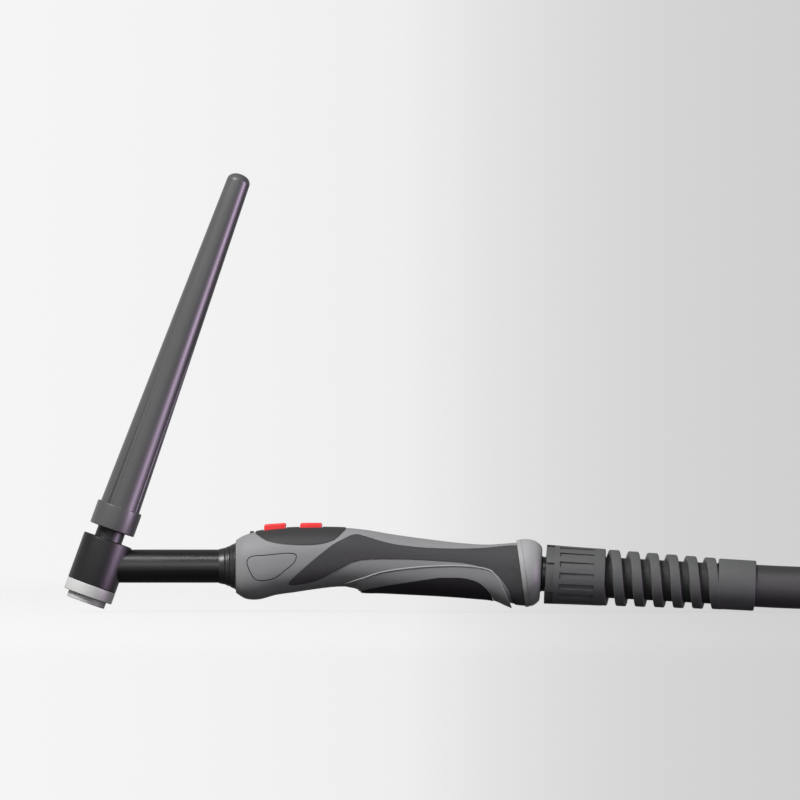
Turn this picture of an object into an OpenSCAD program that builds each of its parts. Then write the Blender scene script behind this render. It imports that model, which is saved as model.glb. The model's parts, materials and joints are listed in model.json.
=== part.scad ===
// TIG welding torch with ball-jointed handle, long back cap and a coiled hose lead.
// Millimetres, +Z up. The neck runs along X, the head stands at its front end, and
// the tail, with its spiral bend relief and hose, leaves at the rear (+X).
// The part rests on the floor plane Z = 0; X = 0, Y = 0 is the middle of the torch's
// own footprint, the hose lead not counted.

/* [Head] */
// Lean of the head axis from upright, towards the handle
head_tilt = 20; // [12:1:28]
// Diameter of the head's insulating cover
head_d = 22.6; // [21:0.2:26]
// Reach of the cover below the neck axis, along the head axis
head_low = 8.95; // [8.6:0.05:11]
// Reach of the cover above the neck axis, along the head axis
head_high = 12.6; // [12:0.2:16]
// Diameter of the collar between the cover and the back cap
collar_d = 12.8; // [12.4:0.2:16]
// Height of the collar between the cover and the back cap
collar_h = 4.9; // [4:0.1:8]
// Diameter of the brass barrel inside the cover
barrel_d = 16; // [14.5:0.5:18]
// Radius of the threaded bore that takes the collet body
collet_r = 4.76; // [4:0.02:4.8]
// Depth of the collet body's bore
collet_depth = 7.5; // [6:0.5:8]
// Radius of the bore that takes the back cap's threaded stub
cap_bore_r = 5; // [4.8:0.1:5.4]
// Height of the cup gasket's wide ring
gasket_h = 5.35; // [4:0.05:7]
// Diameter of the cup gasket's narrow ring
gasket_step_d = 17.8; // [16:0.2:20]
// Height of the cup gasket's narrow ring
gasket_step_h = 3; // [2:0.1:4]
// Radius of the hole through the cup gasket
gasket_bore_r = 6.3; // [5.6:0.1:7]

/* [Back cap] */
// Diameter of the cap's gripping ring
cap_ring_d = 20.8; // [19.5:0.2:24]
// Height of the cap's gripping ring
cap_ring_h = 10.8; // [8:0.2:14]
// Diameter of the cap's cone where it leaves the ring
cap_root_d = 18.2; // [16:0.2:19]
// Diameter of the cap's cone at its tip
cap_tip_d = 10.6; // [9:0.2:12]
// Length of the cap's cone
cap_len = 155.5; // [60:0.5:170]
// Height of the cap's rounded tip
cap_dome_h = 3.8; // [2:0.2:6]
// Number of shallow flutes along the cap
flute_n = 4; // [3:1:6]
// Depth of a flute where it leaves the ring
flute_depth = 1; // [0.4:0.1:1.6]
// Share of the cone that the flutes run along
flute_share = 0.67; // [0.3:0.01:0.9]
// Radius of the electrode bore in the cap
electrode_r = 2.6; // [1.8:0.1:2.8]
// Travel of the cap for one turn of its thread
thread_pitch = 1; // [0.75:0.25:1.5]

/* [Neck] */
// Diameter of the insulated neck
neck_d = 15; // [14:0.5:18]
// Distance from the head axis to the front of the neck's boot
neck_len = 54.2; // [40:0.1:90]
// Outside radius of the brass tube in the neck
tube_r = 4.9; // [4:0.1:5.2]
// Inside radius of the brass tube in the neck
tube_bore_r = 3; // [2:0.1:3.4]
// Length of the flared boot in front of the handle
boot_len = 7.7; // [6:0.1:14]
// Diameter of the flared boot against the handle
boot_d = 21.6; // [20:0.2:23]

/* [Handle] */
// Length of the handle from its front face to the rear ring
handle_len = 128; // [118:1:150]
// Height of the handle at its shoulder
handle_h = 32.4; // [31.6:0.2:36]
// Greatest width of the handle
handle_w = 29.2; // [28.6:0.2:30]
// Thickness of the handle's shells
shell_wall = 2.6; // [2.4:0.1:3]
// Depth of the soft side grips in the shells
grip_depth = 1.1; // [0.8:0.1:1.3]
// Height that the soft grips and the belly cover's pad stand proud
grip_proud = 0.3; // [0.1:0.05:0.4]
// Width that the belly cover stands proud of the shells
belly_proud = 0.7; // [0.5:0.05:0.9]
// Width of the groove round the side panel
panel_groove = 0.4; // [0.2:0.1:0.8]
// Diameter of the shell screws' heads
screw_head_d = 4.4; // [3.6:0.1:5]

/* [Switches] */
// Length of a push button along the handle
button_len = 9.9; // [7:0.1:10.5]
// Width of a push button across the handle
button_w = 9; // [6:0.5:11]
// Height of the buttons above the switch housing
button_rise = 1.9; // [1.6:0.1:3]
// Travel of a push button
button_travel = 1; // [0.5:0.1:1.2]
// Distance between the two buttons' centres
button_pitch = 16.2; // [14:0.1:17]
// Running gap round a push button
button_gap = 0.3; // [0.2:0.05:0.5]

/* [Ball joint] */
// Radius of the swivel ball
ball_r = 11; // [10.8:0.1:11.1]
// Thickness of the seat's liner round the ball
seat_wall = 1; // [0.8:0.1:1.1]
// Running gap of each spherical face of the ball joint
ball_gap = 0.2; // [0.15:0.05:0.3]
// Droop of the tail below the neck axis
tail_droop = 3.2; // [0:0.1:6]
// Drop of the ball's centre below the neck axis
ball_drop = 3.06; // [2.5:0.02:3.5]
// Greatest swing of the handle up, down or sideways at the ball
swing = 10; // [4:1:10]
// Radius of the ball's hollow neck
ball_neck_r = 7.8; // [7.4:0.1:7.8]
// Diameter of the rear ring
ring_d = 30.6; // [30:0.2:33]

/* [Bend relief] */
// Diameter of the grip sleeve behind the ball
sleeve_d = 26.6; // [26:0.2:30]
// Length of the grip sleeve behind the ball
sleeve_len = 26.6; // [24:0.2:40]
// Number of recesses round the grip sleeve
recess_n = 16; // [8:1:18]
// Depth of the recesses round the grip sleeve
recess_depth = 1; // [0.5:0.1:1.4]
// Number of notches in the grip sleeve's front rim
notch_n = 6; // [3:1:6]
// Width of a notch in the grip sleeve's front rim
notch_w = 10.8; // [6:0.2:11]
// Number of turns of the spiral rib
spiral_turns = 5.9; // [3:0.1:7]
// Distance between turns of the spiral rib
spiral_pitch = 8.64; // [8:0.01:11]
// Width of the spiral rib at its top
rib_w = 4.3; // [3:0.1:5]
// Diameter of the spiral's groove floor
groove_d = 18.3; // [17.6:0.1:19.4]
// Diameter of the end sleeve round the hose
end_d = 22.6; // [22:0.2:26]
// Length of the end sleeve round the hose
end_len = 16.9; // [14:0.1:30]

/* [Hose] */
// Diameter of the hose
hose_d = 19; // [17:0.5:19]
// Diameter of the power cable inside the hose
core_d = 10.6; // [9:0.2:10.8]
// Turns of the hose in its coil
coil_turns = 5.5; // [4.5:1:5.5]
// Radius of the coil's outermost turn
coil_r = 130; // [125:1:150]
// Distance between turns that lie side by side
coil_step = 20; // [19.8:0.1:22]
// Distance between the coil's two layers
coil_layer = 19.6; // [19.5:0.1:21]
// Thickness of the straps round the coil
tie_t = 1.2; // [0.8:0.1:2]
// Width of the straps round the coil
tie_w = 20; // [12:1:26]

/* [Plug] */
// Diameter of the plug's housing
plug_d = 34; // [30:0.5:36]
// Length of the plug's housing
plug_len = 62; // [50:1:70]
// Diameter of the plug's collar nut
nut_d = 40; // [39:0.5:44]
// Length of the plug's collar nut
nut_len = 26; // [20:0.5:30]
// Radius of the plug's brass spigot
spigot_r = 6.5; // [5:0.1:7]
// Length of the spigot in front of the nut
spigot_len = 18; // [10:0.5:24]

/* [Hidden] */
$fn = 48;

fit = 0.05;             // gap between pieces that are pressed or screwed together
run_gap = 0.1;          // running gap of the back cap's stub in its bore
skirt = 0.3;            // gap between resting soft pieces
far = 400;              // larger than anything that is cut

// ---- head, along its own axis, from the neck axis ----
head_r = head_d / 2;
barrel_r = barrel_d / 2;
collar_r = collar_d / 2;
collar_top = head_high + collar_h;
stub_r = collar_r - 0.5;                     // brass neck inside the collar
barrel_low = head_low - 0.4;
cap_seat = collar_top + fit;
cap_ring_top = cap_seat + cap_ring_h;
cap_tip = cap_ring_top + cap_len;
gasket_low = head_low + gasket_h;
gasket_end = gasket_low + gasket_step_h;
cap_stub_low = 4;                            // lower end of the cap's threaded stub
cap_socket = 12;                             // length of the insert inside the cap
insert_r = cap_bore_r - run_gap;
o_ring_wire = 0.5;

// ---- neck and handle, along X from the head axis ----
neck_r = neck_d / 2;
handle_x = neck_len + boot_len;
union_x = handle_x + 20;                     // front of the power union
union_len = 18;
tube_end = union_x + 5;
tube_front = (cap_bore_r + 0.4 + tube_r * sin(head_tilt)) / cos(head_tilt);   // clear of the leaning cap bore

// ---- ball joint ----
ball_c = [handle_x + handle_len + 2, 0, -ball_drop];
seat_in = ball_r + ball_gap;
seat_out = seat_in + seat_wall;
socket_r = seat_out + ball_gap;
socket_lean = 7.7;                           // lean of the ring's front face
socket_front = 1.9;                          // that face's distance before the ball's centre
ring_r = ring_d / 2;
ring_rear = 7.2;                             // rear rim behind the ball's centre
dish_r = norm([ring_rear - 0.7, ring_r - 2.5]) + 0.5;

// ---- tail, along its own axis from the ball's centre ----
sleeve_a = 9.2;
sleeve_r = sleeve_d / 2;
sleeve_end = sleeve_a + sleeve_len;
spiral_end = sleeve_end + spiral_turns * spiral_pitch;
tail_end = spiral_end + end_len;
end_r = end_d / 2;
groove_r = groove_d / 2;
hose_r = hose_d / 2;
core_r = core_d / 2;
jacket_a = tail_end - 13.5;                  // where the hose's jacket starts

// ---- place of the whole part ----
tail_dir = [cos(tail_droop), 0, -sin(tail_droop)];
exit = ball_c + tail_end * tail_dir;
x_low = -max(gasket_low * sin(head_tilt) + head_r * cos(head_tilt),
    gasket_end * sin(head_tilt) + gasket_step_d / 2 * cos(head_tilt));
x_high = exit[0] + end_r * sin(tail_droop);
z_low = min(exit[2] - end_r * cos(tail_droop),
    -gasket_end * cos(head_tilt) - gasket_step_d / 2 * sin(head_tilt));
x_mid = (x_low + x_high) / 2;

module torch() translate([-x_mid, 0, -z_low]) children();
module head() torch() rotate([0, head_tilt, 0]) children();
module along_x() rotate([0, 90, 0]) children();
module tail() torch() translate(ball_c) rotate([0, 90 + tail_droop, 0]) children();
module cord() translate([exit[0] - x_mid, 0, 0]) children();

// ---- curves ----
// Height of a smooth curve through points [x, y], sorted by x, at the place x
function slope_at(p, i) = i == 0 ? (p[1][1] - p[0][1]) / (p[1][0] - p[0][0])
    : i == len(p) - 1 ? (p[i][1] - p[i - 1][1]) / (p[i][0] - p[i - 1][0])
    : (p[i + 1][1] - p[i - 1][1]) / (p[i + 1][0] - p[i - 1][0]);
function span_of(p, x, i = 0) = i >= len(p) - 2 || x < p[i + 1][0] ? i : span_of(p, x, i + 1);
function hermite(a, b, ma, mb, w, t) = (2 * t ^ 3 - 3 * t ^ 2 + 1) * a + (t ^ 3 - 2 * t ^ 2 + t) * w * ma
    + (3 * t ^ 2 - 2 * t ^ 3) * b + (t ^ 3 - t ^ 2) * w * mb;
function curve(p, x) = let (i = span_of(p, x), w = p[i + 1][0] - p[i][0])
    hermite(p[i][1], p[i + 1][1], slope_at(p, i), slope_at(p, i + 1), w, (x - p[i][0]) / w);
// Closed smooth outline through points, with steps pieces between each two
function around(p, steps = 3) = [for (i = [0:len(p) - 1], k = [0:steps - 1])
    let (n = len(p), t = k / steps, a = p[(i + n - 1) % n], b = p[i], c = p[(i + 1) % n], d = p[(i + 2) % n])
    ((-a + 3 * b - 3 * c + d) * t ^ 3 + (2 * a - 5 * b + 4 * c - d) * t ^ 2 + (c - a) * t + 2 * b) / 2];

// ---- the handle's form: shares of its length, and of its height or width ----
top_line = [[0, 0.364], [0.03, 0.43], [0.09, 0.495], [0.19, 0.534], [0.36, 0.537], [0.45, 0.508],
    [0.56, 0.436], [0.68, 0.372], [0.79, 0.322], [0.88, 0.3], [0.98, 0.325], [1.05, 0.345]];
bottom_line = [[0, -0.372], [0.03, -0.446], [0.06, -0.466], [0.09, -0.455], [0.14, -0.4], [0.2, -0.366],
    [0.3, -0.308], [0.37, -0.284], [0.6, -0.3], [0.73, -0.33], [0.85, -0.388], [0.98, -0.525], [1.05, -0.55]];
side_line = [[0, 0.395], [0.03, 0.466], [0.1, 0.5], [0.25, 0.5], [0.38, 0.48], [0.52, 0.432],
    [0.66, 0.394], [0.8, 0.378], [0.88, 0.386], [0.95, 0.42], [1, 0.458], [1.05, 0.466]];
belly_line = [[0.34, -0.25], [0.4, -0.296], [0.425, -0.32], [0.44, -0.362], [0.51, -0.371], [0.62, -0.392],
    [0.735, -0.417], [0.84, -0.449], [0.905, -0.479], [0.95, -0.555], [0.99, -0.62]];
// Side views of the inlays, [share of length, share of height]
grip_line = [[0.186, -0.242], [0.24, -0.02], [0.33, 0.272], [0.385, 0.4], [0.42, 0.446], [0.452, 0.424],
    [0.54, 0.322], [0.64, 0.268], [0.75, 0.248], [0.86, 0.254], [0.97, 0.29], [1.04, 0.26], [1.06, -0.1],
    [1.06, -0.55], [0.985, -0.55], [0.955, -0.32], [0.915, -0.11], [0.87, -0.02], [0.8, 0.05], [0.7, 0.08],
    [0.6, 0.1], [0.47, 0.1], [0.41, 0.06], [0.35, -0.06], [0.295, -0.18], [0.24, -0.242]];
cover_line = [[0.34, -0.29], [0.44, -0.17], [0.505, -0.085], [0.572, -0.04], [0.64, -0.012], [0.7, 0.004],
    [0.77, 0.012], [0.83, 0], [0.885, -0.03], [0.918, -0.075], [0.945, -0.2], [0.965, -0.38], [0.99, -0.6]];
pad_line = [[0.43, -0.372], [0.46, -0.33], [0.52, -0.275], [0.6, -0.225], [0.7, -0.164], [0.75, -0.155],
    [0.8, -0.164], [0.85, -0.22], [0.885, -0.34], [0.905, -0.47]];
saddle_line = [[0.07, 0.456], [0.11, 0.36], [0.17, 0.314], [0.23, 0.302], [0.28, 0.308],
    [0.32, 0.338], [0.35, 0.39], [0.385, 0.52]];
panel_line = [[0.038, 0.06], [0.055, 0.145], [0.11, 0.165], [0.185, 0.192], [0.213, 0.16], [0.205, 0.05],
    [0.17, -0.07], [0.14, -0.16], [0.1, -0.2], [0.068, -0.18], [0.05, -0.08]];
form_steps = 20;
form_sides = 28;
form_power = 2.4;                            // 2 is an ellipse, more is boxier

// Height that shares are counted in: the shoulder's in front, and at the rear one that meets the ring
rear_h = ring_d * 18 / 17;
function height_at(u) = handle_h + (rear_h - handle_h) * eased(climb(u, 0.6, 0.3));
function place(p) = [for (q = p) [handle_x + q[0] * handle_len, q[1] * height_at(q[0])]];
function form_top(u) = curve(top_line, u) * height_at(u);
function form_bottom(u) = curve(bottom_line, u) * height_at(u);
function form_side(u) = curve(side_line, u) * handle_w;
function rounded(c) = sign(c) * abs(c) ^ (2 / form_power);
// One cross-section of the handle at the share u, with its bottom at low
function form_ring(u, inset, low, wide) = [for (k = [0:form_sides - 1])
    let (a = 360 * k / form_sides, high = form_top(u), mid = (high + low) / 2)
    [handle_x + u * handle_len, (form_side(u) + wide - inset) * rounded(cos(a)),
        mid + ((high - low) / 2 - inset) * rounded(sin(a))]];
function tube_faces(n, rings) = concat([[for (k = [0:n - 1]) k]],
    [for (i = [0:rings - 2], k = [0:n - 1]) each let (a = i * n + k, b = i * n + (k + 1) % n)
        [[a, a + n, b], [b, a + n, b + n]]],
    [[for (k = [0:n - 1]) rings * n - 1 - k]]);
// Shares at which the cross-sections stand, closer together at the front shoulder
function share_at(i, low, high) = low + (high - low) * (i / form_steps) ^ 1.5;

// The handle's whole form, drawn in by inset
module form(inset = 0, low = 0, high = 1.05)
    for (i = [0:form_steps - 1])
        let (a = share_at(i, low, high), b = share_at(i + 1, low, high))
            hull() polyhedron(concat(form_ring(a, inset, form_bottom(a), 0), form_ring(b, inset, form_bottom(b), 0)),
                tube_faces(form_sides, 2));
// The fuller form under the belly, where the cover lies
module belly_form(proud = 0) {
    steps = 16;
    for (i = [0:steps - 1])
        let (a = 0.345 + 0.645 * i / steps, b = 0.345 + 0.645 * (i + 1) / steps)
            hull() polyhedron(concat(form_ring(a, -proud, curve(belly_line, a) * height_at(a), belly_proud),
                form_ring(b, -proud, curve(belly_line, b) * height_at(b), belly_proud)), tube_faces(form_sides, 2));
}
// A side view outline, made solid across the handle or over one side of it
module across(outline, side = 0)
    translate([0, side == 0 ? far / 2 : side > 0 ? far / 2 : 0, 0])
        rotate([90, 0, 0]) linear_extrude(side == 0 ? far : far / 2) polygon(outline);
module half(side) translate([-far, side > 0 ? 0 : -2 * far, -far]) cube(2 * far);
// Everything behind the sloping face that the rear ring bears on
module behind_face(gap = 0)
    translate(ball_c) rotate([0, -socket_lean, 0]) translate([gap - socket_front, -far / 2, -far / 2]) cube(far);

// ======== head ========
module head_body() {
    color("darkgoldenrod")
    difference() {
        union() {
            head() {
                translate([0, 0, -barrel_low]) cylinder(r = barrel_r, h = barrel_low + head_high - 0.6);
                cylinder(r = stub_r, h = collar_top - 0.2);
            }
            intersection() {
                torch() along_x() cylinder(r = tube_r + 1.5, h = head_r + 4);
                head() cylinder(r = head_r - skirt, h = far, center = true);
            }
        }
        head() {
            translate([0, 0, -barrel_low - 1]) cylinder(r = collet_r, h = collet_depth + 1);
            cylinder(r = electrode_r, h = far, center = true);
            translate([0, 0, cap_stub_low - 1]) cylinder(r = cap_bore_r, h = far);
        }
        torch() {
            along_x() cylinder(r = tube_bore_r - 0.6, h = far);
            translate([tube_front, 0, 0]) along_x() cylinder(r = tube_r + fit, h = far);
        }
    }
}

module head_cover() {
    color("#2b2b2c")
    difference() {
        head() {
            translate([0, 0, -head_low]) cylinder(r = head_r, h = head_low + head_high);
            cylinder(r = collar_r, h = collar_top);
        }
        head() {
            translate([0, 0, -far]) cylinder(r = barrel_r + fit, h = far + head_high - 0.6 + fit);
            cylinder(r = stub_r + fit, h = far);
        }
        torch() along_x() cylinder(r = tube_r + 1.5 + fit, h = far);
    }
}

module cup_gasket() {
    color("whitesmoke")
    head() difference() {
        union() {
            translate([0, 0, -gasket_low]) cylinder(r = head_r, h = gasket_h);
            translate([0, 0, -gasket_end]) cylinder(d = gasket_step_d, h = gasket_step_h + 1);
        }
        cylinder(r = gasket_bore_r, h = far, center = true);
    }
}

// ======== back cap ========
module back_cap() {
    root_r = cap_root_d / 2;
    tip_r = cap_tip_d / 2;
    groove_r = 1.6;
    groove_lean = atan((root_r - tip_r - flute_depth / flute_share) / cap_len);
    color("#5d5e60")
    head() difference() {
        union() {
            translate([0, 0, cap_seat]) rotate_extrude() polygon([[0, 0], [cap_ring_d / 2 - 0.4, 0],
                [cap_ring_d / 2, 0.4], [cap_ring_d / 2, cap_ring_h - 0.3], [cap_ring_d / 2 - 0.3, cap_ring_h], [0, cap_ring_h]]);
            translate([0, 0, cap_ring_top - 1]) cylinder(r1 = root_r, r2 = tip_r, h = cap_len + 1);
            translate([0, 0, cap_tip]) rotate_extrude()
                polygon(concat([[0, 0]], [for (k = [0:6]) [tip_r * cos(k * 15) ^ 0.9, cap_dome_h * sin(k * 15)]]));
        }
        for (k = [0:flute_n - 1])
            rotate([0, 0, 360 * k / flute_n + 60]) translate([-root_r + flute_depth - groove_r, 0, cap_ring_top])
                rotate([0, groove_lean, 0]) cylinder(r = groove_r, h = far, $fn = 32);
        translate([0, 0, cap_seat - 1]) cylinder(r = stub_r + fit, h = cap_socket + 1 + fit);
        cylinder(r = electrode_r, h = cap_tip - 2);
    }
}

module cap_insert() {
    color("goldenrod")
    head() difference() {
        union() {
            translate([0, 0, cap_stub_low]) cylinder(r = insert_r, h = collar_top - cap_stub_low + 1);
            translate([0, 0, cap_seat]) cylinder(r = stub_r, h = cap_socket);
        }
        cylinder(r = electrode_r, h = far, center = true);
        translate([0, 0, collar_top - 3]) rotate_extrude()
            translate([insert_r - 2 * o_ring_wire, -o_ring_wire - fit]) square([far, 2 * (o_ring_wire + fit)]);
    }
}

module cap_o_ring() {
    color("#1c1c1c")
    head() translate([0, 0, collar_top - 3]) rotate_extrude()
        translate([insert_r - o_ring_wire, 0]) circle(r = o_ring_wire - fit / 2, $fn = 16);
}

// ======== neck ========
module neck_tube() {
    color("peru")
    torch() difference() {
        translate([tube_front + fit, 0, 0]) along_x() cylinder(r = tube_r, h = tube_end - tube_front - fit);
        along_x() cylinder(r = tube_bore_r, h = far);
    }
}

module neck_sleeve() {
    color("#232324")
    difference() {
        torch() along_x() cylinder(r = neck_r, h = handle_x + 4);
        torch() along_x() cylinder(r = tube_r + fit, h = far, center = true);
        head() cylinder(r = head_r, h = far, center = true);
    }
}

module neck_boot() {
    flare = boot_d / 2 - neck_r;
    color("#1f1f20")
    torch() translate([neck_len, 0, 0]) along_x() rotate_extrude() polygon(concat([[neck_r + fit, 0]],
        [for (k = [0:8]) let (t = k / 8) [neck_r + 0.25 + (flare - 0.25) * (0.25 * t + 0.75 * t ^ 1.8), boot_len * t * 0.9]],
        [[boot_d / 2, boot_len], [neck_r + 1.4, boot_len], [neck_r + 1.4, boot_len + 2],
            [neck_r + 2.2, boot_len + 2], [neck_r + 2.2, boot_len + 3.4], [neck_r + fit, boot_len + 3.4]]));
}

module power_union() {
    color("darkgoldenrod")
    torch() translate([union_x, 0, 0]) along_x() difference() {
        union() {
            cylinder(r = tube_r + 1.3, h = union_len);
            translate([0, 0, 4]) cylinder(r = tube_r + 2, h = 7, $fn = 6);
        }
        translate([0, 0, -1]) cylinder(r = tube_r + fit, h = 6 + fit);
        cylinder(r = tube_bore_r, h = far);
        translate([0, 0, union_len / 2]) cylinder(r = cable_r + cable_slack, h = far);
    }
}

// ======== inside the handle ========
cable_r = core_r - 0.7;                      // power cable between the union and the ball
cable_slack = 0.35;
cable_x = union_x + union_len / 2 + 0.25;    // the cable's front end, inside the union
cable_drop = atan(ball_drop / (ball_c[0] - cable_x));
// The straight line from the union to the ball's centre
module cable_line() translate([cable_x, 0, 0]) rotate([0, 90 + cable_drop, 0]) children();
module power_cable() {
    long = norm([ball_c[0] - cable_x, ball_drop]);
    color("#3a2a20")
    torch() cable_line() rotate_extrude()
        polygon(concat([[0, 0], [cable_r, 0]], [for (k = [0:9]) [cable_r * cos(10 * k), long + cable_r * sin(10 * k)]]));
}

board_z = tube_r + 2 + 0.6;                  // underside of the switch board
board_t = 1.2;
board_w = 20;
board_x = handle_x + 13;
board_len = button_pitch + button_len + 7;
button_x = handle_x + 17.6;                  // centre of the front button
flange_t = 1;                                // flange that holds a button in its window
flange_top = form_top(0.09) - grip_depth - 1.2;
plunger_top = flange_top - flange_t - button_travel - 0.2;
function button_at(i) = button_x + i * button_pitch;

module control_leads() {
    lead_r = 0.7;
    color("firebrick")
    torch() for (side = [-1, 1]) translate([board_x + board_len + lead_r, side * 2.4, board_z + board_t / 2]) {
        rotate([0, 90 + 12, 0]) cylinder(r = lead_r, h = 18, $fn = 16);
    }
}

module switch_board() {
    color("seagreen")
    torch() translate([board_x, -board_w / 2, board_z]) cube([board_len, board_w, board_t]);
}

module micro_switches() {
    color("#303236")
    torch() for (i = [0, 1]) translate([button_at(i), 0, board_z + board_t]) {
        translate([-3, -3, 0]) cube([6, 6, (plunger_top - board_z - board_t) * 0.6]);
        cylinder(r = 1.6, h = plunger_top - board_z - board_t, $fn = 24);
    }
}

// One push button: its cap slopes down to the front by ramp at its top
module button(i, ramp) {
    low = flange_top - flange_t;
    crown = form_top(0.2) + grip_proud + button_rise;
    color("#d8262b")
    torch() translate([button_at(i), 0, 0]) {
        rotate([90, 0, 0]) linear_extrude(button_w, center = true)
            polygon([[-button_len / 2, low], [button_len / 2, low], [button_len / 2, crown - 0.3],
                [button_len / 2 - 0.5, crown], [-button_len / 2 + 0.7, crown - ramp], [-button_len / 2, crown - ramp - 0.7]]);
        translate([0, 0, low + flange_t / 2]) cube([button_len + 1.6, button_w + 1.6, flange_t], center = true);
    }
}
module button_front() button(0, 0.7);
module button_rear() button(1, 0);

// Openings that the buttons and the switches stand in
module button_windows(gap)
    for (i = [0, 1]) translate([button_at(i), 0, form_top(0.2)])
        cube([button_len + 2 * gap, button_w + 2 * gap, 16], center = true);
module switch_room() {
    side = 1.6;                              // room round the buttons
    translate([board_x - 1, -board_w / 2 - 0.5, board_z]) cube([board_len + 2, board_w + 1, board_t + 0.6]);
    translate([button_x - button_len / 2 - side, -button_w / 2 - side, board_z])
        cube([button_pitch + button_len + 2 * side, button_w + 2 * side, far]);
}

module switch_housing() {
    line = concat(place(saddle_line), [[handle_x + 0.385 * handle_len, handle_h], [handle_x + 0.07 * handle_len, handle_h]]);
    color("#3c3d3f")
    torch() difference() {
        intersection() {
            form(-grip_proud);
            across(line);
        }
        form(grip_depth + 0.2);
        button_windows(button_gap);
    }
}

// ======== handle shells and their inlays ========
panel_place = around(place(panel_line));
grip_place = around(place(grip_line), 2);
module cover_edge() polygon(concat(place(cover_line), [[handle_x + handle_len, -far], [handle_x + 0.3 * handle_len, -far]]));
module pad_edge() polygon(concat(place(pad_line), [[handle_x + 0.905 * handle_len, -far], [handle_x + 0.43 * handle_len, -far]]));

screw_at = [[0.045, 0.32], [0.055, -0.35], [0.17, -0.27]];   // shares of length and height
screw_seat = handle_w / 2 - 7.6;             // seat of the screws' heads, from the joint between the shells
function screw_place(i) = [handle_x + screw_at[i][0] * handle_len, 0, screw_at[i][1] * handle_h];

// One half shell; side is -1 for the left half and 1 for the right half
module shell(side) {
    torch() difference() {
        intersection() {
            form();
            half(side);
        }
        behind_face();
        difference() {
            form(shell_wall, 0.06, 0.86);
            for (i = [0:2]) translate(screw_place(i)) rotate([90, 0, 0])
                cylinder(r = screw_head_d / 2 + 1, h = far, center = true, $fn = 16);
            for (x = [0, board_len - 4]) translate([board_x + x, -far / 2, board_z - 3])
                difference() {
                    cube([4, far, 3 - fit]);
                    translate([-1, far / 2 - board_w / 2 + 1, -1]) cube([6, board_w - 2, far]);
                }
        }
        along_x() cylinder(r = neck_r + fit, h = far / 4, $fn = 32);
        translate([handle_x - 1, 0, 0]) along_x() cylinder(r = neck_r + 1.4 + fit, h = 4, $fn = 32);
        translate([handle_x + 2, 0, 0]) along_x() cylinder(r = neck_r + 2.2 + fit, h = 1.4 + fit, $fn = 32);
        translate(ball_c) sphere(r = socket_r, $fn = 36);
        cable_line() cylinder(r = cable_r + 0.4, h = far / 4, $fn = 32);
        difference() {
            across(grip_place, side);
            form(grip_depth);
        }
        difference() {
            across(concat(place(saddle_line), [[handle_x + 0.385 * handle_len, handle_h], [handle_x + 0.07 * handle_len, handle_h]]));
            form(grip_depth + 0.2);
        }
        switch_room();
        if (side < 0) difference() {
            across(panel_place, side);
            form(grip_depth);
        }
        for (i = [0:2]) translate(screw_place(i)) rotate([-90, 0, 0]) {
            translate([0, 0, -screw_seat - 1]) cylinder(r = 1.1 + fit, h = far, $fn = 16);
            translate([0, 0, screw_seat]) cylinder(d = screw_head_d + 0.3, h = far, $fn = 16);
        }
    }
}
module shell_left() color("#8d8e90") shell(-1);
module shell_right() color("#8d8e90") shell(1);

module side_grip(side) {
    torch() difference() {
        intersection() {
            form(-grip_proud);
            across(grip_place, side);
        }
        form(grip_depth);
        behind_face();
        translate(ball_c) sphere(r = socket_r, $fn = 36);
        belly_zone();
    }
}
module side_grip_left() color("#48494b") side_grip(-1);
module side_grip_right() color("#48494b") side_grip(1);

// Room that the belly cover takes
module belly_zone()
    rotate([90, 0, 0]) linear_extrude(far, center = true) offset(0.1) cover_edge();

module side_panel() {
    color("#7f8082")
    torch() difference() {
        intersection() {
            form();
            translate([0, 0, 0]) rotate([90, 0, 0]) linear_extrude(far / 2) offset(-panel_groove) polygon(panel_place);
        }
        form(grip_depth);
    }
}

module belly_cover() {
    color("#77787a")
    torch() difference() {
        intersection() {
            belly_form();
            rotate([90, 0, 0]) linear_extrude(far, center = true) cover_edge();
        }
        form();
        rotate([90, 0, 0]) linear_extrude(far, center = true) pad_edge();
        behind_face(-skirt);
    }
}

module belly_grip() {
    color("#222223")
    torch() difference() {
        intersection() {
            belly_form(grip_proud);
            rotate([90, 0, 0]) linear_extrude(far, center = true) offset(-fit) pad_edge();
        }
        form();
    }
}

module shell_screws() {
    color("silver")
    torch() for (i = [0:2]) translate(screw_place(i)) rotate([-90, 0, 0]) difference() {
        union() {
            translate([0, 0, -screw_seat]) cylinder(r = 1.1, h = 2 * screw_seat + 1, $fn = 24);
            translate([0, 0, screw_seat + fit]) cylinder(d = screw_head_d, h = 2, $fn = 24);
        }
        translate([0, 0, screw_seat + 1.2]) cylinder(r = 1.1, h = 2, $fn = 6);
    }
}

// ======== ball joint ========
ring_line = [[-6, ring_r - 1.3], [-3, ring_r - 0.35], [0.5, ring_r], [3, ring_r - 0.4], [5, ring_r - 1.25], [6.5, ring_r - 2.5]];
module rear_ring() {
    color("#a9aaac")
    difference() {
        tail() difference() {
            rotate_extrude() polygon(concat([[0, -6]],
                [for (k = [0:20]) let (a = -6 + 12.5 * k / 20) [curve(ring_line, a), a]],
                [[ring_r - 3.3, ring_rear - 0.15], [ring_r - 4, ring_rear], [0, ring_rear]]));
            sphere(r = socket_r);
            cylinder(r = 7, h = far);
        }
        torch() translate(ball_c) rotate([0, -socket_lean, 0])
            translate([-far - socket_front + fit, -far / 2, -far / 2]) cube(far);
    }
}

module ball_seat() {
    color("ivory")
    tail() difference() {
        sphere(r = seat_out);
        sphere(r = seat_in);
        translate([-far / 2, -far / 2, 6.2]) cube(far);
        translate([-far / 2, -far / 2, -8 - far]) cube(far);
    }
}

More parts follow.
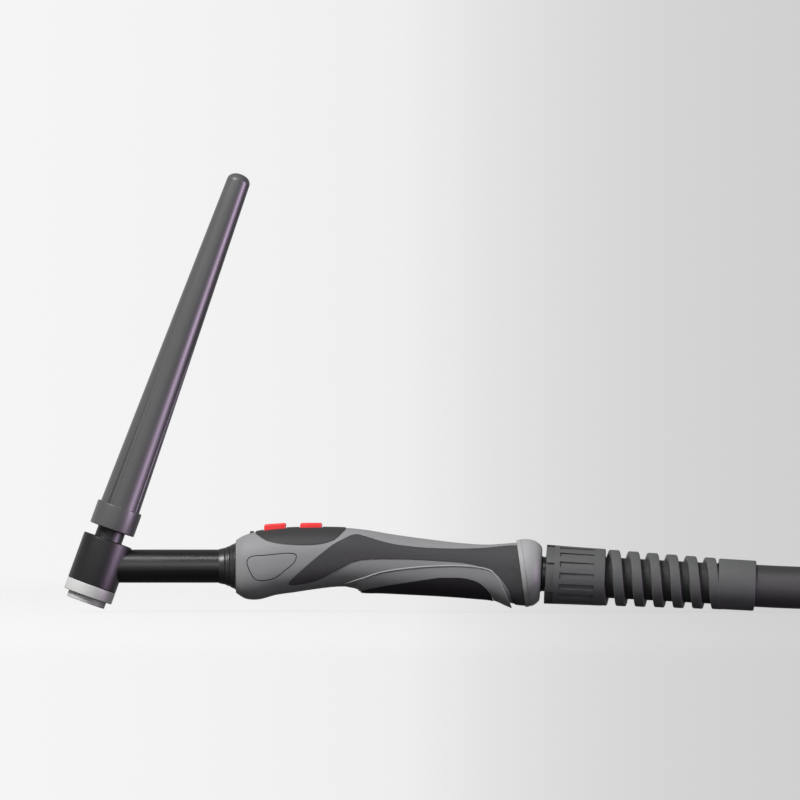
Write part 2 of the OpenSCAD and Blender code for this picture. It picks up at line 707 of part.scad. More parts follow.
flange_a = 20;
module swivel_ball() {
    front = 7;
    color("#2a2a2b")
    tail() difference() {
        union() {
            difference() {
                sphere(r = ball_r);
                translate([-far / 2, -far / 2, -far - front]) cube(far);
            }
            cylinder(r = ball_neck_r, h = flange_a + 2);
            translate([0, 0, flange_a]) cylinder(r = ball_neck_r + 1, h = 2);
        }
        cylinder(r = core_r + 0.9, h = far);
        translate([0, 0, -front - 0.01]) cylinder(r1 = core_r + 2.1, r2 = core_r + 0.9, h = front + 0.02);
    }
}

// ======== bend relief and cable ========
function sleeve_r_at(a) = sleeve_r - 0.5 * (a - sleeve_a) / sleeve_len;
function rib_r_at(a) = sleeve_r - 0.6 - (sleeve_r - 0.6 - end_r - 0.2) * (a - sleeve_end) / (spiral_end - sleeve_end);
rib_steps = 16;                              // rings of the spiral rib in one turn
rib_phase = 202;                             // direction in which the spiral rib starts
notch_long = 3.6;                            // reach of a notch behind the sleeve's front
// One ring of the spiral rib, its foot sunk into the groove's floor
function rib_ring(i) = let (turn = i / rib_steps, a = sleeve_end - spiral_pitch / 2 + turn * spiral_pitch,
        r = rib_r_at(max(a, sleeve_end)), w = rib_w / 2, c = 0.5, foot = groove_r - 0.8)
    [for (q = [[foot, -w - 0.4], [foot, w + 0.4], [r - c, w], [r, w - c], [r, -w + c], [r - c, -w]])
        [q[0] * cos(360 * turn + rib_phase), q[0] * sin(360 * turn + rib_phase), a + q[1]]];
rib_rings = ceil((spiral_turns + 0.6) * rib_steps);

module strain_relief() {
    color("#4b4c4e")
    tail() difference() {
        union() {
            translate([0, 0, sleeve_a]) cylinder(r1 = sleeve_r, r2 = sleeve_r - 0.5, h = sleeve_len, $fn = 40);
            translate([0, 0, sleeve_end - 1]) cylinder(r = groove_r, h = spiral_end - sleeve_end + 2, $fn = 40);
            polyhedron([for (i = [0:rib_rings]) each rib_ring(i)], tube_faces(6, rib_rings + 1));
            translate([0, 0, spiral_end]) rotate_extrude()
                polygon([[0, 0], [end_r + 0.1, 0], [end_r, end_len - 0.6], [end_r, end_len], [0, end_len]]);
        }
        sphere(r = dish_r, $fn = 32);
        translate([0, 0, sleeve_a - 2]) cylinder(r = ball_neck_r + 0.2, h = flange_a + 4.3 - sleeve_a);
        translate([0, 0, flange_a - 0.3]) cylinder(r = ball_neck_r + 1.3, h = 2.6);
        cylinder(r = core_r + 0.3, h = far);
        translate([0, 0, jacket_a - 0.2]) cylinder(r = hose_r + 0.1, h = far);
        for (k = [0:recess_n - 1]) rotate([0, 0, 360 * k / recess_n])
            hull() for (a = [sleeve_a + 6.6, sleeve_a + sleeve_len - 5.4], y = [-0.7, 0.7])
                translate([sleeve_r_at(a) - recess_depth, y, a]) rotate([0, 90, 0]) cylinder(r = 0.5, h = 6, $fn = 6);
        difference() {
            for (k = [0:notch_n - 1]) rotate([0, 0, 360 * (k + 0.5) / notch_n])
                translate([0, -notch_w / 2, sleeve_a - 1]) cube([far / 4, notch_w, notch_long + 1]);
            cylinder(r = sleeve_r - recess_depth, h = far, $fn = 40);
        }
    }
}

module cable_core() {
    color("#3a2a20")
    tail() difference() {
        translate([0, 0, 2]) cylinder(r = core_r, h = jacket_a - 2.6);
        sphere(r = cable_r + 0.3);
    }
}

// ======== hose ========
// Route of the hose's free stretch, from inside its sleeve to the coil, in the cord's frame:
// X from the end sleeve's rear face, Z from the floor. Round numbers, chosen by hand.
run_points = [[-13.5, 0, 12.05], [0, 0, 11.3], [12, 0, 10.7], [24, 0, 10.3], [36, 0, 10.1], [48, 0, 10],
    [60, 0, 10], [72, 0, 10], [84, 0, 10.1], [96, 0, 10.2], [108, 0, 10.4], [120, 0, 10.6], [132, 0, 10.8],
    [144, 0, 10.9], [158, 0, 10.9], [172, 0, 10.9]];
// Route of the hose's last stretch, from the coil over its own turns to the plug
end_points = [[0, 130, 50.1], [-14, 128.8, 50.3], [-28, 124.9, 51], [-41, 118.7, 52.2], [-52.5, 110.4, 53.6],
    [-62.5, 99.9, 55.2], [-70.5, 87.7, 56.8], [-76.3, 74, 58.2], [-79.3, 60, 59.4], [-80, 46, 60.1],
    [-80, 38, 60.4], [-80, 30, 60.4], [-80, 22, 60.4]];
coil_x = 172;                                // coil's centre behind the end sleeve's rear face
coil_low = hose_r + tie_t + 0.2;             // lowest turns' centre line above the floor
coil_rings = 24;                             // rings in one turn

function coil_radius(t) = coil_r - coil_step * (coil_turns / 2 - sqrt((t - coil_turns / 2) ^ 2 + 0.01));
function climb(t, from, long) = min(max((t - from) / long, 0), 1);
function eased(s) = s * s * (3 - 2 * s);
function coil_height(t) = coil_low + coil_layer * (climb(t, coil_turns / 2 - 0.25, 0.5)
    + eased(climb(t, coil_turns - 0.3, 0.3)));
function coil_point(t) = [coil_radius(t) * cos(360 * t - 90), coil_r + coil_radius(t) * sin(360 * t - 90), coil_height(t)];
coil_points = [for (i = [0:coil_turns * coil_rings]) coil_point(i / coil_rings)];

function unit(v) = v / norm(v);
function heading(p, i) = unit(p[min(i + 1, len(p) - 1)] - p[max(i - 1, 0)]);
// One ring of a tube with n sides and radius r, square to the heading d at the point c
function tube_ring(c, d, r, n) = let (s = unit(cross([0, 0, 1], d)), u = cross(d, s))
    [for (k = [0:n - 1]) c + r * (sin(360 * k / n) * -s + cos(360 * k / n) * u)];
module tube(p, r, n, first = undef, last = undef)
    polyhedron([for (i = [0:len(p) - 1])
        each tube_ring(p[i], i == 0 && first != undef ? first : i == len(p) - 1 && last != undef ? last : heading(p, i), r, n)],
        [for (f = tube_faces(n, len(p))) [for (k = [len(f) - 1:-1:0]) f[k]]]);

module hose_run() {
    color("#2f3031")
    cord() tube(run_points, hose_r, 12, last = [1, 0, 0]);
}

module hose_coil() {
    color("#2f3031")
    cord() translate([coil_x, 0, 0]) tube(coil_points, hose_r, 6, first = [1, 0, 0], last = [-1, 0, 0]);
}

module hose_end() {
    color("#2f3031")
    cord() translate([coil_x, coil_r, 0]) tube(end_points, hose_r, 12, first = [-1, 0, 0], last = [0, -1, 0]);
}

// Least gap between the coil's turns, measured on its points and on points between them
fine_points = [for (i = [0:coil_turns * coil_rings - 1], k = [0, 1])
    coil_points[i] + (coil_points[i + 1] - coil_points[i]) * k / 2];
coil_gap = min([for (i = [0:len(fine_points) - 1], j = [i + coil_rings:1:len(fine_points) - 1])
    norm(fine_points[i] - fine_points[j])]) - hose_d;
echo(coil_gap = coil_gap);

tie_turns = [112, 195, 300];                 // directions of the straps from the coil's centre
module coil_ties() {
    slack = 0.8;
    high = coil_low + coil_layer + hose_r + 0.2;
    color("#151515")
    cord() translate([coil_x, coil_r, 0]) for (a = tie_turns)
        let (turns = [for (t = [(a + 90) % 360 / 360 : 1 : coil_turns]) coil_radius(t)],
            inner = min(turns) - hose_r - slack, outer = max(turns) + hose_r + slack)
            rotate([0, 0, a]) rotate([90, 0, 0]) linear_extrude(tie_w, center = true) difference() {
                translate([inner - tie_t, 0]) square([outer - inner + 2 * tie_t, high + tie_t]);
                translate([inner, tie_t]) square([outer - inner, high - tie_t]);
            }
}

// ======== plug on the hose's far end ========
plug_z = end_points[len(end_points) - 1][2];
plug_y = end_points[len(end_points) - 1][1];
module plug() cord() translate([coil_x + end_points[len(end_points) - 1][0], coil_r + plug_y, plug_z])
    rotate([90, 0, 0]) children();
boot_long = 36;
housing_a = boot_long - 10;
nut_lip = 3.5;                               // reach of the nut past the housing's face
neck_long = nut_len - nut_lip + 0.3;         // length of the neck that the nut turns on
nut_seat_r = plug_d / 2 - 2;
face_a = housing_a + plug_len;

module plug_boot() {
    color("#1e1e1f")
    plug() difference() {
        rotate_extrude() polygon(concat([[0, 0]], [for (k = [0:boot_long / 3 - 1]) each
            let (r = hose_r + 1.4 + 2.4 * k * 3 / boot_long) [[r + (k % 2) * 0.7, k * 3], [r + (k % 2) * 0.7, k * 3 + 2.2]]],
            [[0, boot_long - 0.8]]));
        translate([0, 0, -1]) cylinder(r = hose_r + fit, h = 9);
        cylinder(r = core_r, h = far);
    }
}

module plug_housing() {
    color("#2c2d2f")
    plug() difference() {
        translate([0, 0, housing_a]) rotate_extrude() polygon([[0, 0], [plug_d / 2 - 2, 0], [plug_d / 2, 3],
            [plug_d / 2, plug_len - neck_long - 1], [plug_d / 2 - 1, plug_len - neck_long],
            [nut_seat_r, plug_len - neck_long], [nut_seat_r, plug_len], [0, plug_len]]);
        translate([0, 0, housing_a - 1]) cylinder(r = hose_r + 5, h = boot_long - housing_a + 1.2);
        translate([0, 0, face_a - 20]) cylinder(r = shank_r + fit, h = far);
        for (k = [0:2]) rotate([0, 0, 120 * k]) translate([spigot_r + 3.6, 0, face_a - 10])
            cylinder(r = 1.2 + fit, h = far, $fn = 24);
        for (k = [0:11]) rotate([0, 0, 30 * k]) translate([plug_d / 2 + 0.4, 0, housing_a + 8])
            cylinder(r = 1.4, h = plug_len - neck_long - 16, $fn = 16);
    }
}

module plug_nut() {
    color("#5b5c5f")
    plug() translate([0, 0, face_a + nut_lip - nut_len]) difference() {
        cylinder(d = nut_d, h = nut_len);
        translate([0, 0, -1]) cylinder(r = nut_seat_r + 0.3, h = far);
        for (k = [0:17]) rotate([0, 0, 20 * k]) translate([nut_d / 2 + 0.5, 0, 3])
            cylinder(r = 1.4, h = nut_len - 6, $fn = 16);
    }
}

spigot_tip = face_a + nut_lip + spigot_len;
seal_wire = 0.8;
seal_a = spigot_tip - 5;                     // middle of the spigot's O-ring
shank_r = spigot_r - 0.8;                    // undercut shank, pressed into the housing
root_relief = 1;                             // length of the shank before the housing's face
module plug_insert() {
    color("goldenrod")
    plug() difference() {
        union() {
            translate([0, 0, face_a - 20 + fit]) cylinder(r = shank_r, h = 21 - fit + root_relief);
            translate([0, 0, face_a + root_relief]) cylinder(r = spigot_r, h = spigot_tip - face_a - root_relief);
        }
        translate([0, 0, face_a]) cylinder(r = 2.5, h = far);
        translate([0, 0, seal_a]) rotate_extrude()
            translate([spigot_r - 2 * seal_wire - 0.1, -seal_wire - fit]) square([far, 2 * (seal_wire + fit)]);
    }
}

module plug_pins() {
    color("gold")
    plug() for (k = [0:2]) rotate([0, 0, 120 * k])
        translate([spigot_r + 3.6, 0, face_a - 10 + fit]) cylinder(r = 1.2, h = 14, $fn = 24);
}

module plug_o_ring() {
    color("#1c1c1c")
    plug() translate([0, 0, seal_a]) rotate_extrude()
        translate([spigot_r - seal_wire - fit, 0]) circle(r = seal_wire, $fn = 16);
}

head_body();
head_cover();
cup_gasket();
back_cap();
cap_insert();
cap_o_ring();
neck_tube();
neck_sleeve();
neck_boot();
power_union();
power_cable();
control_leads();
shell_left();
shell_right();
side_grip_left();
side_grip_right();
side_panel();
belly_cover();
belly_grip();
shell_screws();
switch_housing();
switch_board();
micro_switches();
button_front();
button_rear();
rear_ring();
ball_seat();
swivel_ball();
strain_relief();
cable_core();
hose_run();
hose_coil();
hose_end();
coil_ties();
plug_boot();
plug_housing();
plug_nut();
plug_insert();
plug_pins();
plug_o_ring();
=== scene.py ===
"""Looks of a TIG welding torch: head, long back cap, ball-jointed handle, bend relief and hose lead.

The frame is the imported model's, in metres: +X runs from the head to the hose, +Z is up.
Each sub-assembly is a class that builds its own meshes in millimetres and dresses them.
"""

from __future__ import annotations

import json
import logging
import math
from dataclasses import dataclass, field
from enum import Enum
from typing import Callable, Sequence

import bmesh
import bpy
from mathutils import Matrix, Vector

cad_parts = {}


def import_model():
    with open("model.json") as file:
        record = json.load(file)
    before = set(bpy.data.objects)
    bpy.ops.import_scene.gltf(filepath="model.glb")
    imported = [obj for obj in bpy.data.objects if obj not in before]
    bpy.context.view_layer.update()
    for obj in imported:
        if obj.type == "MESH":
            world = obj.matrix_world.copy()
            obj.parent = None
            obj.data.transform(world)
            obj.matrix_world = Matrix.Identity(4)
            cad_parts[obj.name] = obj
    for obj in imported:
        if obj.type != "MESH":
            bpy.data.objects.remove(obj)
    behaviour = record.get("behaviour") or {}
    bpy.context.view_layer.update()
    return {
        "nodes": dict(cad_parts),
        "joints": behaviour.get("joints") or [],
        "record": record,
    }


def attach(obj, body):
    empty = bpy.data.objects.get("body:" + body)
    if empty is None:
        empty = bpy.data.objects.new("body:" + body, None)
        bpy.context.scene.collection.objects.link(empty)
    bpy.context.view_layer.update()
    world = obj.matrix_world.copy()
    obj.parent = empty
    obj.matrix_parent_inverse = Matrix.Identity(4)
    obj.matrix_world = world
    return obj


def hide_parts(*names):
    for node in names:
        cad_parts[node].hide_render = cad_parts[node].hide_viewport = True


LOG = logging.getLogger("torch")
MM = 0.001
Point2 = tuple[float, float]
Point3 = tuple[float, float, float]
Colour = Point3
Mesh = bmesh.types.BMesh
Piece = bpy.types.Object
Material = bpy.types.Material


# ---- plain maths


def eased(s: float) -> float:
    """Smooth step from 0 to 1 for s from 0 to 1, held outside it."""
    s = min(max(s, 0.0), 1.0)
    return s * s * (3 - 2 * s)


def curve(points: Sequence[Point2], x: float) -> float:
    """Height at x of the smooth curve through points that are sorted by x.

    Args:
        points: Pairs of place and height.
        x: Place along the curve.

    Returns:
        The height of a cubic Hermite curve whose slopes come from its neighbours.
    """
    last = len(points) - 1
    i = next((k for k in range(last - 1) if x < points[k + 1][0]), last - 1)

    def slope(k: int) -> float:
        a, b = points[max(k - 1, 0)], points[min(k + 1, last)]
        return (b[1] - a[1]) / (b[0] - a[0])

    (x0, y0), (x1, y1) = points[i], points[i + 1]
    wide = x1 - x0
    t = (x - x0) / wide
    return ((2 * t**3 - 3 * t**2 + 1) * y0 + (t**3 - 2 * t**2 + t) * wide * slope(i)
            + (3 * t**2 - 2 * t**3) * y1 + (t**3 - t**2) * wide * slope(i + 1))


def blend(a: Vector, b: Vector, c: Vector, d: Vector, t: float) -> Vector:
    """Place at the share t of the way from b to c on the smooth curve through a, b, c and d."""
    return ((-a + 3 * b - 3 * c + d) * t**3 + (2 * a - 5 * b + 4 * c - d) * t**2 + (c - a) * t + 2 * b) / 2


def around(points: Sequence[Point2], steps: int = 8) -> list[Point2]:
    """Closed smooth outline through points, with steps pieces between each two."""
    n = len(points)
    line = []
    for i in range(n):
        four = [Vector(points[(i + k) % n]) for k in (-1, 0, 1, 2)]
        line += [tuple(blend(*four, k / steps)) for k in range(steps)]
    return line


def rounded(profile: Sequence[Point2], radius: float, steps: int = 4, closed: bool = True) -> list[Point2]:
    """A profile with an arc of up to the given radius at every corner.

    Args:
        profile: Corners of the profile.
        radius: Radius of the arcs, made smaller where an edge is too short.
        steps: Pieces in each arc.
        closed: Whether the last corner joins the first.

    Returns:
        The corners of the rounded profile.
    """
    n = len(profile)
    line: list[Point2] = []
    for i in range(n):
        here = Vector(profile[i])
        if not closed and i in (0, n - 1):
            line.append((here.x, here.y))
            continue
        back, on = Vector(profile[i - 1]) - here, Vector(profile[(i + 1) % n]) - here
        angle = back.angle(on, math.pi)
        if angle > math.radians(172) or here.x < 1e-9:
            line.append((here.x, here.y))
            continue
        reach = min(radius / math.tan(angle / 2), 0.45 * back.length, 0.45 * on.length)
        a, b = here + back.normalized() * reach, here + on.normalized() * reach
        for k in range(steps + 1):
            t = k / steps
            p = a * (1 - t) ** 2 + here * 2 * t * (1 - t) + b * t**2
            line.append((p.x, p.y))
    return line


def axis_place(origin: Vector, direction: Vector) -> Matrix:
    """Matrix that stands a part's own +Z along direction at origin, with its +Y along the frame's +Y."""
    z = direction.normalized()
    y = Vector((0, 1, 0))
    y = (y - z * y.dot(z)).normalized() if abs(z.y) < 0.99 else Vector((0, 0, 1))
    x = y.cross(z)
    return Matrix.Translation(origin) @ Matrix((x, y, z)).transposed().to_4x4()


# ---- meshes


class Cut(Enum):
    """How one solid changes another."""

    AWAY = "DIFFERENCE"
    KEEP = "INTERSECT"
    JOIN = "UNION"


def finished(bm: Mesh, name: str, place: Matrix | None = None, sharp: float = 35) -> Piece:
    """Turns a bmesh into an object at the origin, smooth but for its sharp edges.

    Args:
        bm: The mesh, which is used up.
        name: Name of the piece.
        place: Where the piece stands in the frame.
        sharp: Angle in degrees above which an edge stays sharp.

    Returns:
        The new object.
    """
    if place is not None:
        bmesh.ops.transform(bm, matrix=place, verts=bm.verts)
    mesh = bpy.data.meshes.new(name)
    bm.to_mesh(mesh)
    bm.free()
    mesh.polygons.foreach_set("use_smooth", [True] * len(mesh.polygons))
    mesh.set_sharp_from_angle(angle=math.radians(sharp))
    piece = bpy.data.objects.new(name, mesh)
    bpy.context.scene.collection.objects.link(piece)
    return piece


def outward(bm: Mesh, gap: float = 1e-6) -> Mesh:
    """Merges doubled points and turns every face outwards."""
    bmesh.ops.remove_doubles(bm, verts=bm.verts, dist=gap)
    bmesh.ops.dissolve_degenerate(bm, edges=bm.edges, dist=gap / 2)
    bmesh.ops.recalc_face_normals(bm, faces=bm.faces)
    return bm


def lathe(profile: Sequence[Point2], steps: int = 96, closed: bool = True) -> Mesh:
    """A turned part: a profile of (radius, height) spun about +Z.

    Args:
        profile: The profile's points; one at radius 0 becomes a pole.
        steps: Pieces round the part.
        closed: Whether the last point joins the first.

    Returns:
        The spun mesh, with its faces outwards.
    """
    bm = bmesh.new()
    verts = [bm.verts.new((r, 0, a)) for r, a in profile]
    ends = zip(verts, verts[1:] + verts[:1]) if closed else zip(verts, verts[1:])
    edges = [bm.edges.new(pair) for pair in ends if max(pair[0].co.x, pair[1].co.x) > 1e-9]
    bmesh.ops.spin(bm, geom=[*verts, *edges], cent=(0, 0, 0), axis=(0, 0, 1), angle=2 * math.pi, steps=steps,
                   use_merge=True)
    return outward(bm)


def wrapped(steps: int, sides: int, point: Callable[[float, float], Vector], uv: str = "") -> Mesh:
    """A closed tube-like form: a grid that is bent by a formula, sewn along its seam and capped.

    Args:
        steps: Pieces along the form.
        sides: Pieces round it.
        point: Gives the place for the share along and the share round.
        uv: Name of a UV map that keeps the two shares.

    Returns:
        The closed mesh.
    """
    bm = bmesh.new()
    if uv:
        bm.loops.layers.uv.new(uv)
    bmesh.ops.create_grid(bm, x_segments=steps, y_segments=sides, size=0.5, calc_uvs=bool(uv))
    for v in bm.verts:
        v.co = point(v.co.x + 0.5, v.co.y + 0.5)
    bmesh.ops.remove_doubles(bm, verts=bm.verts, dist=1e-7)
    bmesh.ops.holes_fill(bm, edges=bm.edges, sides=0)
    bmesh.ops.recalc_face_normals(bm, faces=bm.faces)
    return bm


def raised(bm: Mesh, faces: Sequence[bmesh.types.BMFace], height: float) -> Mesh:
    """Makes flat faces solid along +Z."""
    grown = bmesh.ops.extrude_face_region(bm, geom=faces)["geom"]
    tops = [g for g in grown if isinstance(g, bmesh.types.BMVert)]
    bmesh.ops.translate(bm, vec=(0, 0, height), verts=tops)
    bmesh.ops.recalc_face_normals(bm, faces=bm.faces)
    return bm


def prism(outline: Sequence[Point2], low: float, high: float, place: Matrix | None = None) -> Mesh:
    """A flat outline made solid between two heights."""
    bm = bmesh.new()
    face = bm.faces.new([bm.verts.new((x, y, low)) for x, y in outline])
    raised(bm, [face], high - low)
    return bm if place is None else moved(bm, place)


def block(low: Vector, high: Vector, edge: float = 0.0, segments: int = 2) -> Mesh:
    """A box between two corners, with its edges rounded by edge."""
    bm = bmesh.new()
    bmesh.ops.create_cube(bm, size=1)
    size, mid = high - low, (high + low) / 2
    bmesh.ops.scale(bm, vec=size, verts=bm.verts)
    bmesh.ops.translate(bm, vec=mid, verts=bm.verts)
    if edge:
        bmesh.ops.bevel(bm, geom=bm.edges, offset=edge, affect="EDGES", segments=segments, profile=0.5,
                        material=-1)
    return bm


def joined(*forms: Mesh) -> Mesh:
    """Puts several meshes, which are used up, into one."""
    whole = bmesh.new()
    for bm in forms:
        mesh = bpy.data.meshes.new("part")
        bm.to_mesh(mesh)
        bm.free()
        whole.from_mesh(mesh)
        bpy.data.meshes.remove(mesh)
    return whole


def moved(bm: Mesh, place: Matrix) -> Mesh:
    """The mesh, put through a matrix."""
    bmesh.ops.transform(bm, matrix=place, verts=bm.verts)
    return bm


def spread(tool: Mesh, count: int, reach: float = 0.0, first: float = 0.0) -> Mesh:
    """Copies of a tool, which is used up, at even steps round +Z.

    Args:
        tool: The tool.
        count: How many copies there are.
        reach: How far each copy is moved out.
        first: Steps by which the first copy is turned.

    Returns:
        The copies as one mesh.
    """
    out = Matrix.Translation((reach, 0, 0))
    turned = [moved(tool.copy(), Matrix.Rotation(math.tau * (k + first) / count, 4, "Z") @ out)
              for k in range(count)]
    tool.free()
    return joined(*turned)


def carve(target: Piece, tool: Mesh | Piece, how: Cut = Cut.AWAY) -> Piece:
    """Cuts, keeps or joins a solid with another, and leaves the result on the first.

    Args:
        target: The piece that is changed.
        tool: The other solid, which is used up.
        how: What is done with it.

    Returns:
        The changed piece.
    """
    helper = tool if isinstance(tool, Piece) else finished(tool, "tool")
    change = target.modifiers.new("cut", "BOOLEAN")
    change.operation, change.object, change.solver = how.value, helper, "MANIFOLD"
    graph = bpy.context.evaluated_depsgraph_get()
    mesh = bpy.data.meshes.new_from_object(target.evaluated_get(graph))
    target.modifiers.clear()
    old, mesh.name = target.data, target.name
    target.data = mesh
    mesh.set_sharp_from_angle(angle=math.radians(35))
    bpy.data.meshes.remove(old)
    bpy.data.meshes.remove(helper.data)
    return target


# ---- shader maths


class Sock:
    """A node's output that adds, multiplies and compares like a number."""

    def __init__(self, shader: Shader, link: bpy.types.NodeSocket) -> None:
        """Keeps the shader and the socket that is wrapped."""
        self.shader, self.link = shader, link

    def math(self, operation: str, *values: Sock | float) -> Sock:
        """A Math node of the given operation on the values."""
        return self.shader.node("ShaderNodeMath", {"operation": operation}, dict(enumerate(values)))

    def __add__(self, other: Sock | float) -> Sock:
        """Sum."""
        return self.math("ADD", self, other)

    def __sub__(self, other: Sock | float) -> Sock:
        """Difference."""
        return self.math("SUBTRACT", self, other)

    def __rsub__(self, other: float) -> Sock:
        """Difference from a number."""
        return self.math("SUBTRACT", other, self)

    def __mul__(self, other: Sock | float) -> Sock:
        """Product."""
        return self.math("MULTIPLY", self, other)

    def __pow__(self, other: float) -> Sock:
        """Power."""
        return self.math("POWER", self, other)

    def sine(self) -> Sock:
        """Sine."""
        return self.math("SINE", self)

    def most(self, other: Sock | float) -> Sock:
        """The larger of two values."""
        return self.math("MAXIMUM", self, other)

    def between(self, low: float, high: float) -> Sock:
        """Share from 0 to 1 of the way from low to high, eased at both ends."""
        values = {"Value": self, "From Min": low, "From Max": high}
        return self.shader.node("ShaderNodeMapRange", {"interpolation_type": "SMOOTHSTEP"}, values)


class Shader:
    """A material under construction, with the one method that makes its nodes."""

    def __init__(self, name: str) -> None:
        """Starts a material with an empty node tree."""
        self.material = bpy.data.materials.new(name)
        self.material.use_nodes = True
        self.tree = self.material.node_tree
        self.tree.nodes.clear()

    @classmethod
    def on_world(cls, world: bpy.types.World) -> Shader:
        """A shader that fills a world's tree."""
        shader = cls.__new__(cls)
        world.use_nodes = True
        shader.material, shader.tree = None, world.node_tree
        shader.tree.nodes.clear()
        return shader

    def node(self, kind: str, settings: dict | None = None, values: dict | None = None,
             output: int | str = 0) -> Sock:
        """Adds one node.

        Args:
            kind: The node's type.
            settings: Its properties, or "stops" for a colour ramp's (place, colour) pairs.
            values: Numbers, colours or sockets for its inputs, by name or index.
            output: Name or index of the output that is wrapped.

        Returns:
            The wrapped output.
        """
        made = self.tree.nodes.new(kind)
        for key, value in (settings or {}).items():
            if key == "stops":
                ramp = made.color_ramp
                ramp.interpolation = "B_SPLINE"
                while len(ramp.elements) < len(value):
                    ramp.elements.new(0.5)
                for element, (place, colour) in zip(ramp.elements, value):
                    element.position, element.color = place, (*colour, 1)
            else:
                setattr(made, key, value)
        for key, value in (values or {}).items():
            if isinstance(value, Sock):
                self.tree.links.new(value.link, made.inputs[key])
            elif isinstance(value, tuple) and len(value) == 3 and made.inputs[key].type == "RGBA":
                made.inputs[key].default_value = (*value, 1)
            else:
                made.inputs[key].default_value = value
        return Sock(self, made.outputs[output]) if len(made.outputs) else Sock(self, None)

    def place(self) -> Sock:
        """Object coordinates."""
        return self.node("ShaderNodeTexCoord", output="Object")

    def noise(self, where: Sock, scale: float, detail: float = 2.0, rough: float = 0.5) -> Sock:
        """Noise from 0 to 1 at a scale in features a metre."""
        values = {"Vector": where, "Scale": scale, "Detail": detail, "Roughness": rough}
        return self.node("ShaderNodeTexNoise", None, values)

    def mix(self, share: Sock | float, low: Sock | Colour, high: Sock | Colour) -> Sock:
        """Colour between low and high by share."""
        settings = {"data_type": "RGBA"}
        return self.node("ShaderNodeMix", settings, {0: share, 6: low, 7: high}, output=2)

    def parts(self, vector: Sock) -> tuple[Sock, Sock, Sock]:
        """The X, Y and Z of a vector."""
        first = self.node("ShaderNodeSeparateXYZ", None, {0: vector})
        outs = first.link.node.outputs
        return Sock(self, outs[0]), Sock(self, outs[1]), Sock(self, outs[2])

    def bump(self, height: Sock, depth: float) -> Sock:
        """A normal that is tilted by a height from 0 to 1 times a depth in metres."""
        return self.node("ShaderNodeBump", None, {"Height": height, "Distance": depth, "Strength": 1.0})

    def close(self, values: dict) -> Material:
        """Ends the material in a Principled shader with the given inputs."""
        surface = self.node("ShaderNodeBsdfPrincipled", None, values)
        self.node("ShaderNodeOutputMaterial", None, {"Surface": surface})
        return self.material


def shade(colour: Colour, times: float) -> Colour:
    """A colour made lighter or darker."""
    return tuple(min(1.0, c * times) for c in colour)


@dataclass(frozen=True)
class Moulded:
    """Moulded plastic or rubber: a fine spark-eroded grain, flow marks and a little rubbed dust.

    Attributes:
        name: Name of the material.
        colour: Base colour.
        rough: Roughness.
        gloss: Specular level.
        grain: Depth of the grain in metres.
        grain_size: Size of one grain in metres.
        flow: Share by which the tone drifts over the surface.
        dust: Share by which rubbed places turn pale.
    """

    name: str
    colour: Colour
    rough: float = 0.6
    gloss: float = 0.3
    grain: float = 0.00003
    grain_size: float = 0.0005
    flow: float = 0.08
    dust: float = 0.04

    def material(self) -> Material:
        """Builds the material."""
        return self.fill(Shader(self.name), 1.0)

    def fill(self, s: Shader, unshaded: Sock | float) -> Material:
        """Fills a shader with this plastic.

        Args:
            s: The shader.
            unshaded: Share of the colour that shows at each place; the rest is mixed towards near black as
                painted shade.

        Returns:
            The material.
        """
        where = s.place()
        drift = s.noise(where, 45, 3)
        fine = s.noise(where, 1 / self.grain_size, 2, 0.6)
        rubbed = s.noise(where, 260, 5, 0.65).between(0.56, 0.78) * self.dust
        tone = s.mix(drift, shade(self.colour, 1 - self.flow), shade(self.colour, 1 + self.flow))
        # Mixing towards near black by the share given is painted shade; only the bend relief's grooves use it.
        colour = s.mix(unshaded, (0.004, 0.004, 0.004), s.mix(rubbed, tone, (0.55, 0.54, 0.53)))
        rough = (drift - 0.5) * 0.12 + (fine - 0.5) * 0.08 + self.rough
        return s.close({"Base Color": colour, "Roughness": rough, "Specular IOR Level": self.gloss,
                        "Normal": s.bump(fine, self.grain)})


@dataclass(frozen=True)
class Ribbed(Moulded):
    """Ribbed rubber: a moulded finish whose grooves, near the tail's axis, are painted darker towards their
    floor as shade.

    Attributes:
        centre: A point on the axis, in metres.
        axis: Direction of the axis.
        floor_r: Radius of the grooves' floor in metres.
        crest_r: Radius in metres above which no shade is painted.
        groove_shade: Share of the colour that is left at the grooves' floor, where the shade is painted.
    """

    centre: Point3 = (0.051632, 0, 0.01707)
    axis: Point3 = (0.998441, 0, -0.055822)
    floor_r: float = 0.0094
    crest_r: float = 0.0108
    groove_shade: float = 0.3

    def material(self) -> Material:
        """Builds the material."""
        s = Shader(self.name)
        off = s.node("ShaderNodeVectorMath", {"operation": "SUBTRACT"}, {0: s.place(), 1: self.centre})
        apart = s.node("ShaderNodeVectorMath", {"operation": "CROSS_PRODUCT"}, {0: off, 1: self.axis})
        radius = s.node("ShaderNodeVectorMath", {"operation": "LENGTH"}, {0: apart}, "Value")
        # Painted shade: the colour darkens from the crests down to the grooves' floor, as if the ribs shaded
        # it.
        return self.fill(s, radius.between(self.floor_r, self.crest_r) * (1 - self.groove_shade) + self.groove_shade)


@dataclass(frozen=True)
class Turned:
    """Turned metal: fine tool marks round the part's own axis and a slightly uneven tarnish."""

    name: str
    colour: Colour
    rough: float = 0.28

    def material(self) -> Material:
        """Builds the material."""
        s = Shader(self.name)
        where = s.place()
        tarnish = s.noise(where, 120, 4).between(0.35, 0.75)
        marks = s.noise(where, 5200, 1)
        colour = s.mix(tarnish, self.colour, shade(self.colour, 0.62))
        return s.close({"Base Color": colour, "Metallic": 1.0, "Roughness": tarnish * 0.16 + self.rough,
                        "Normal": s.bump(marks, 0.000006)})


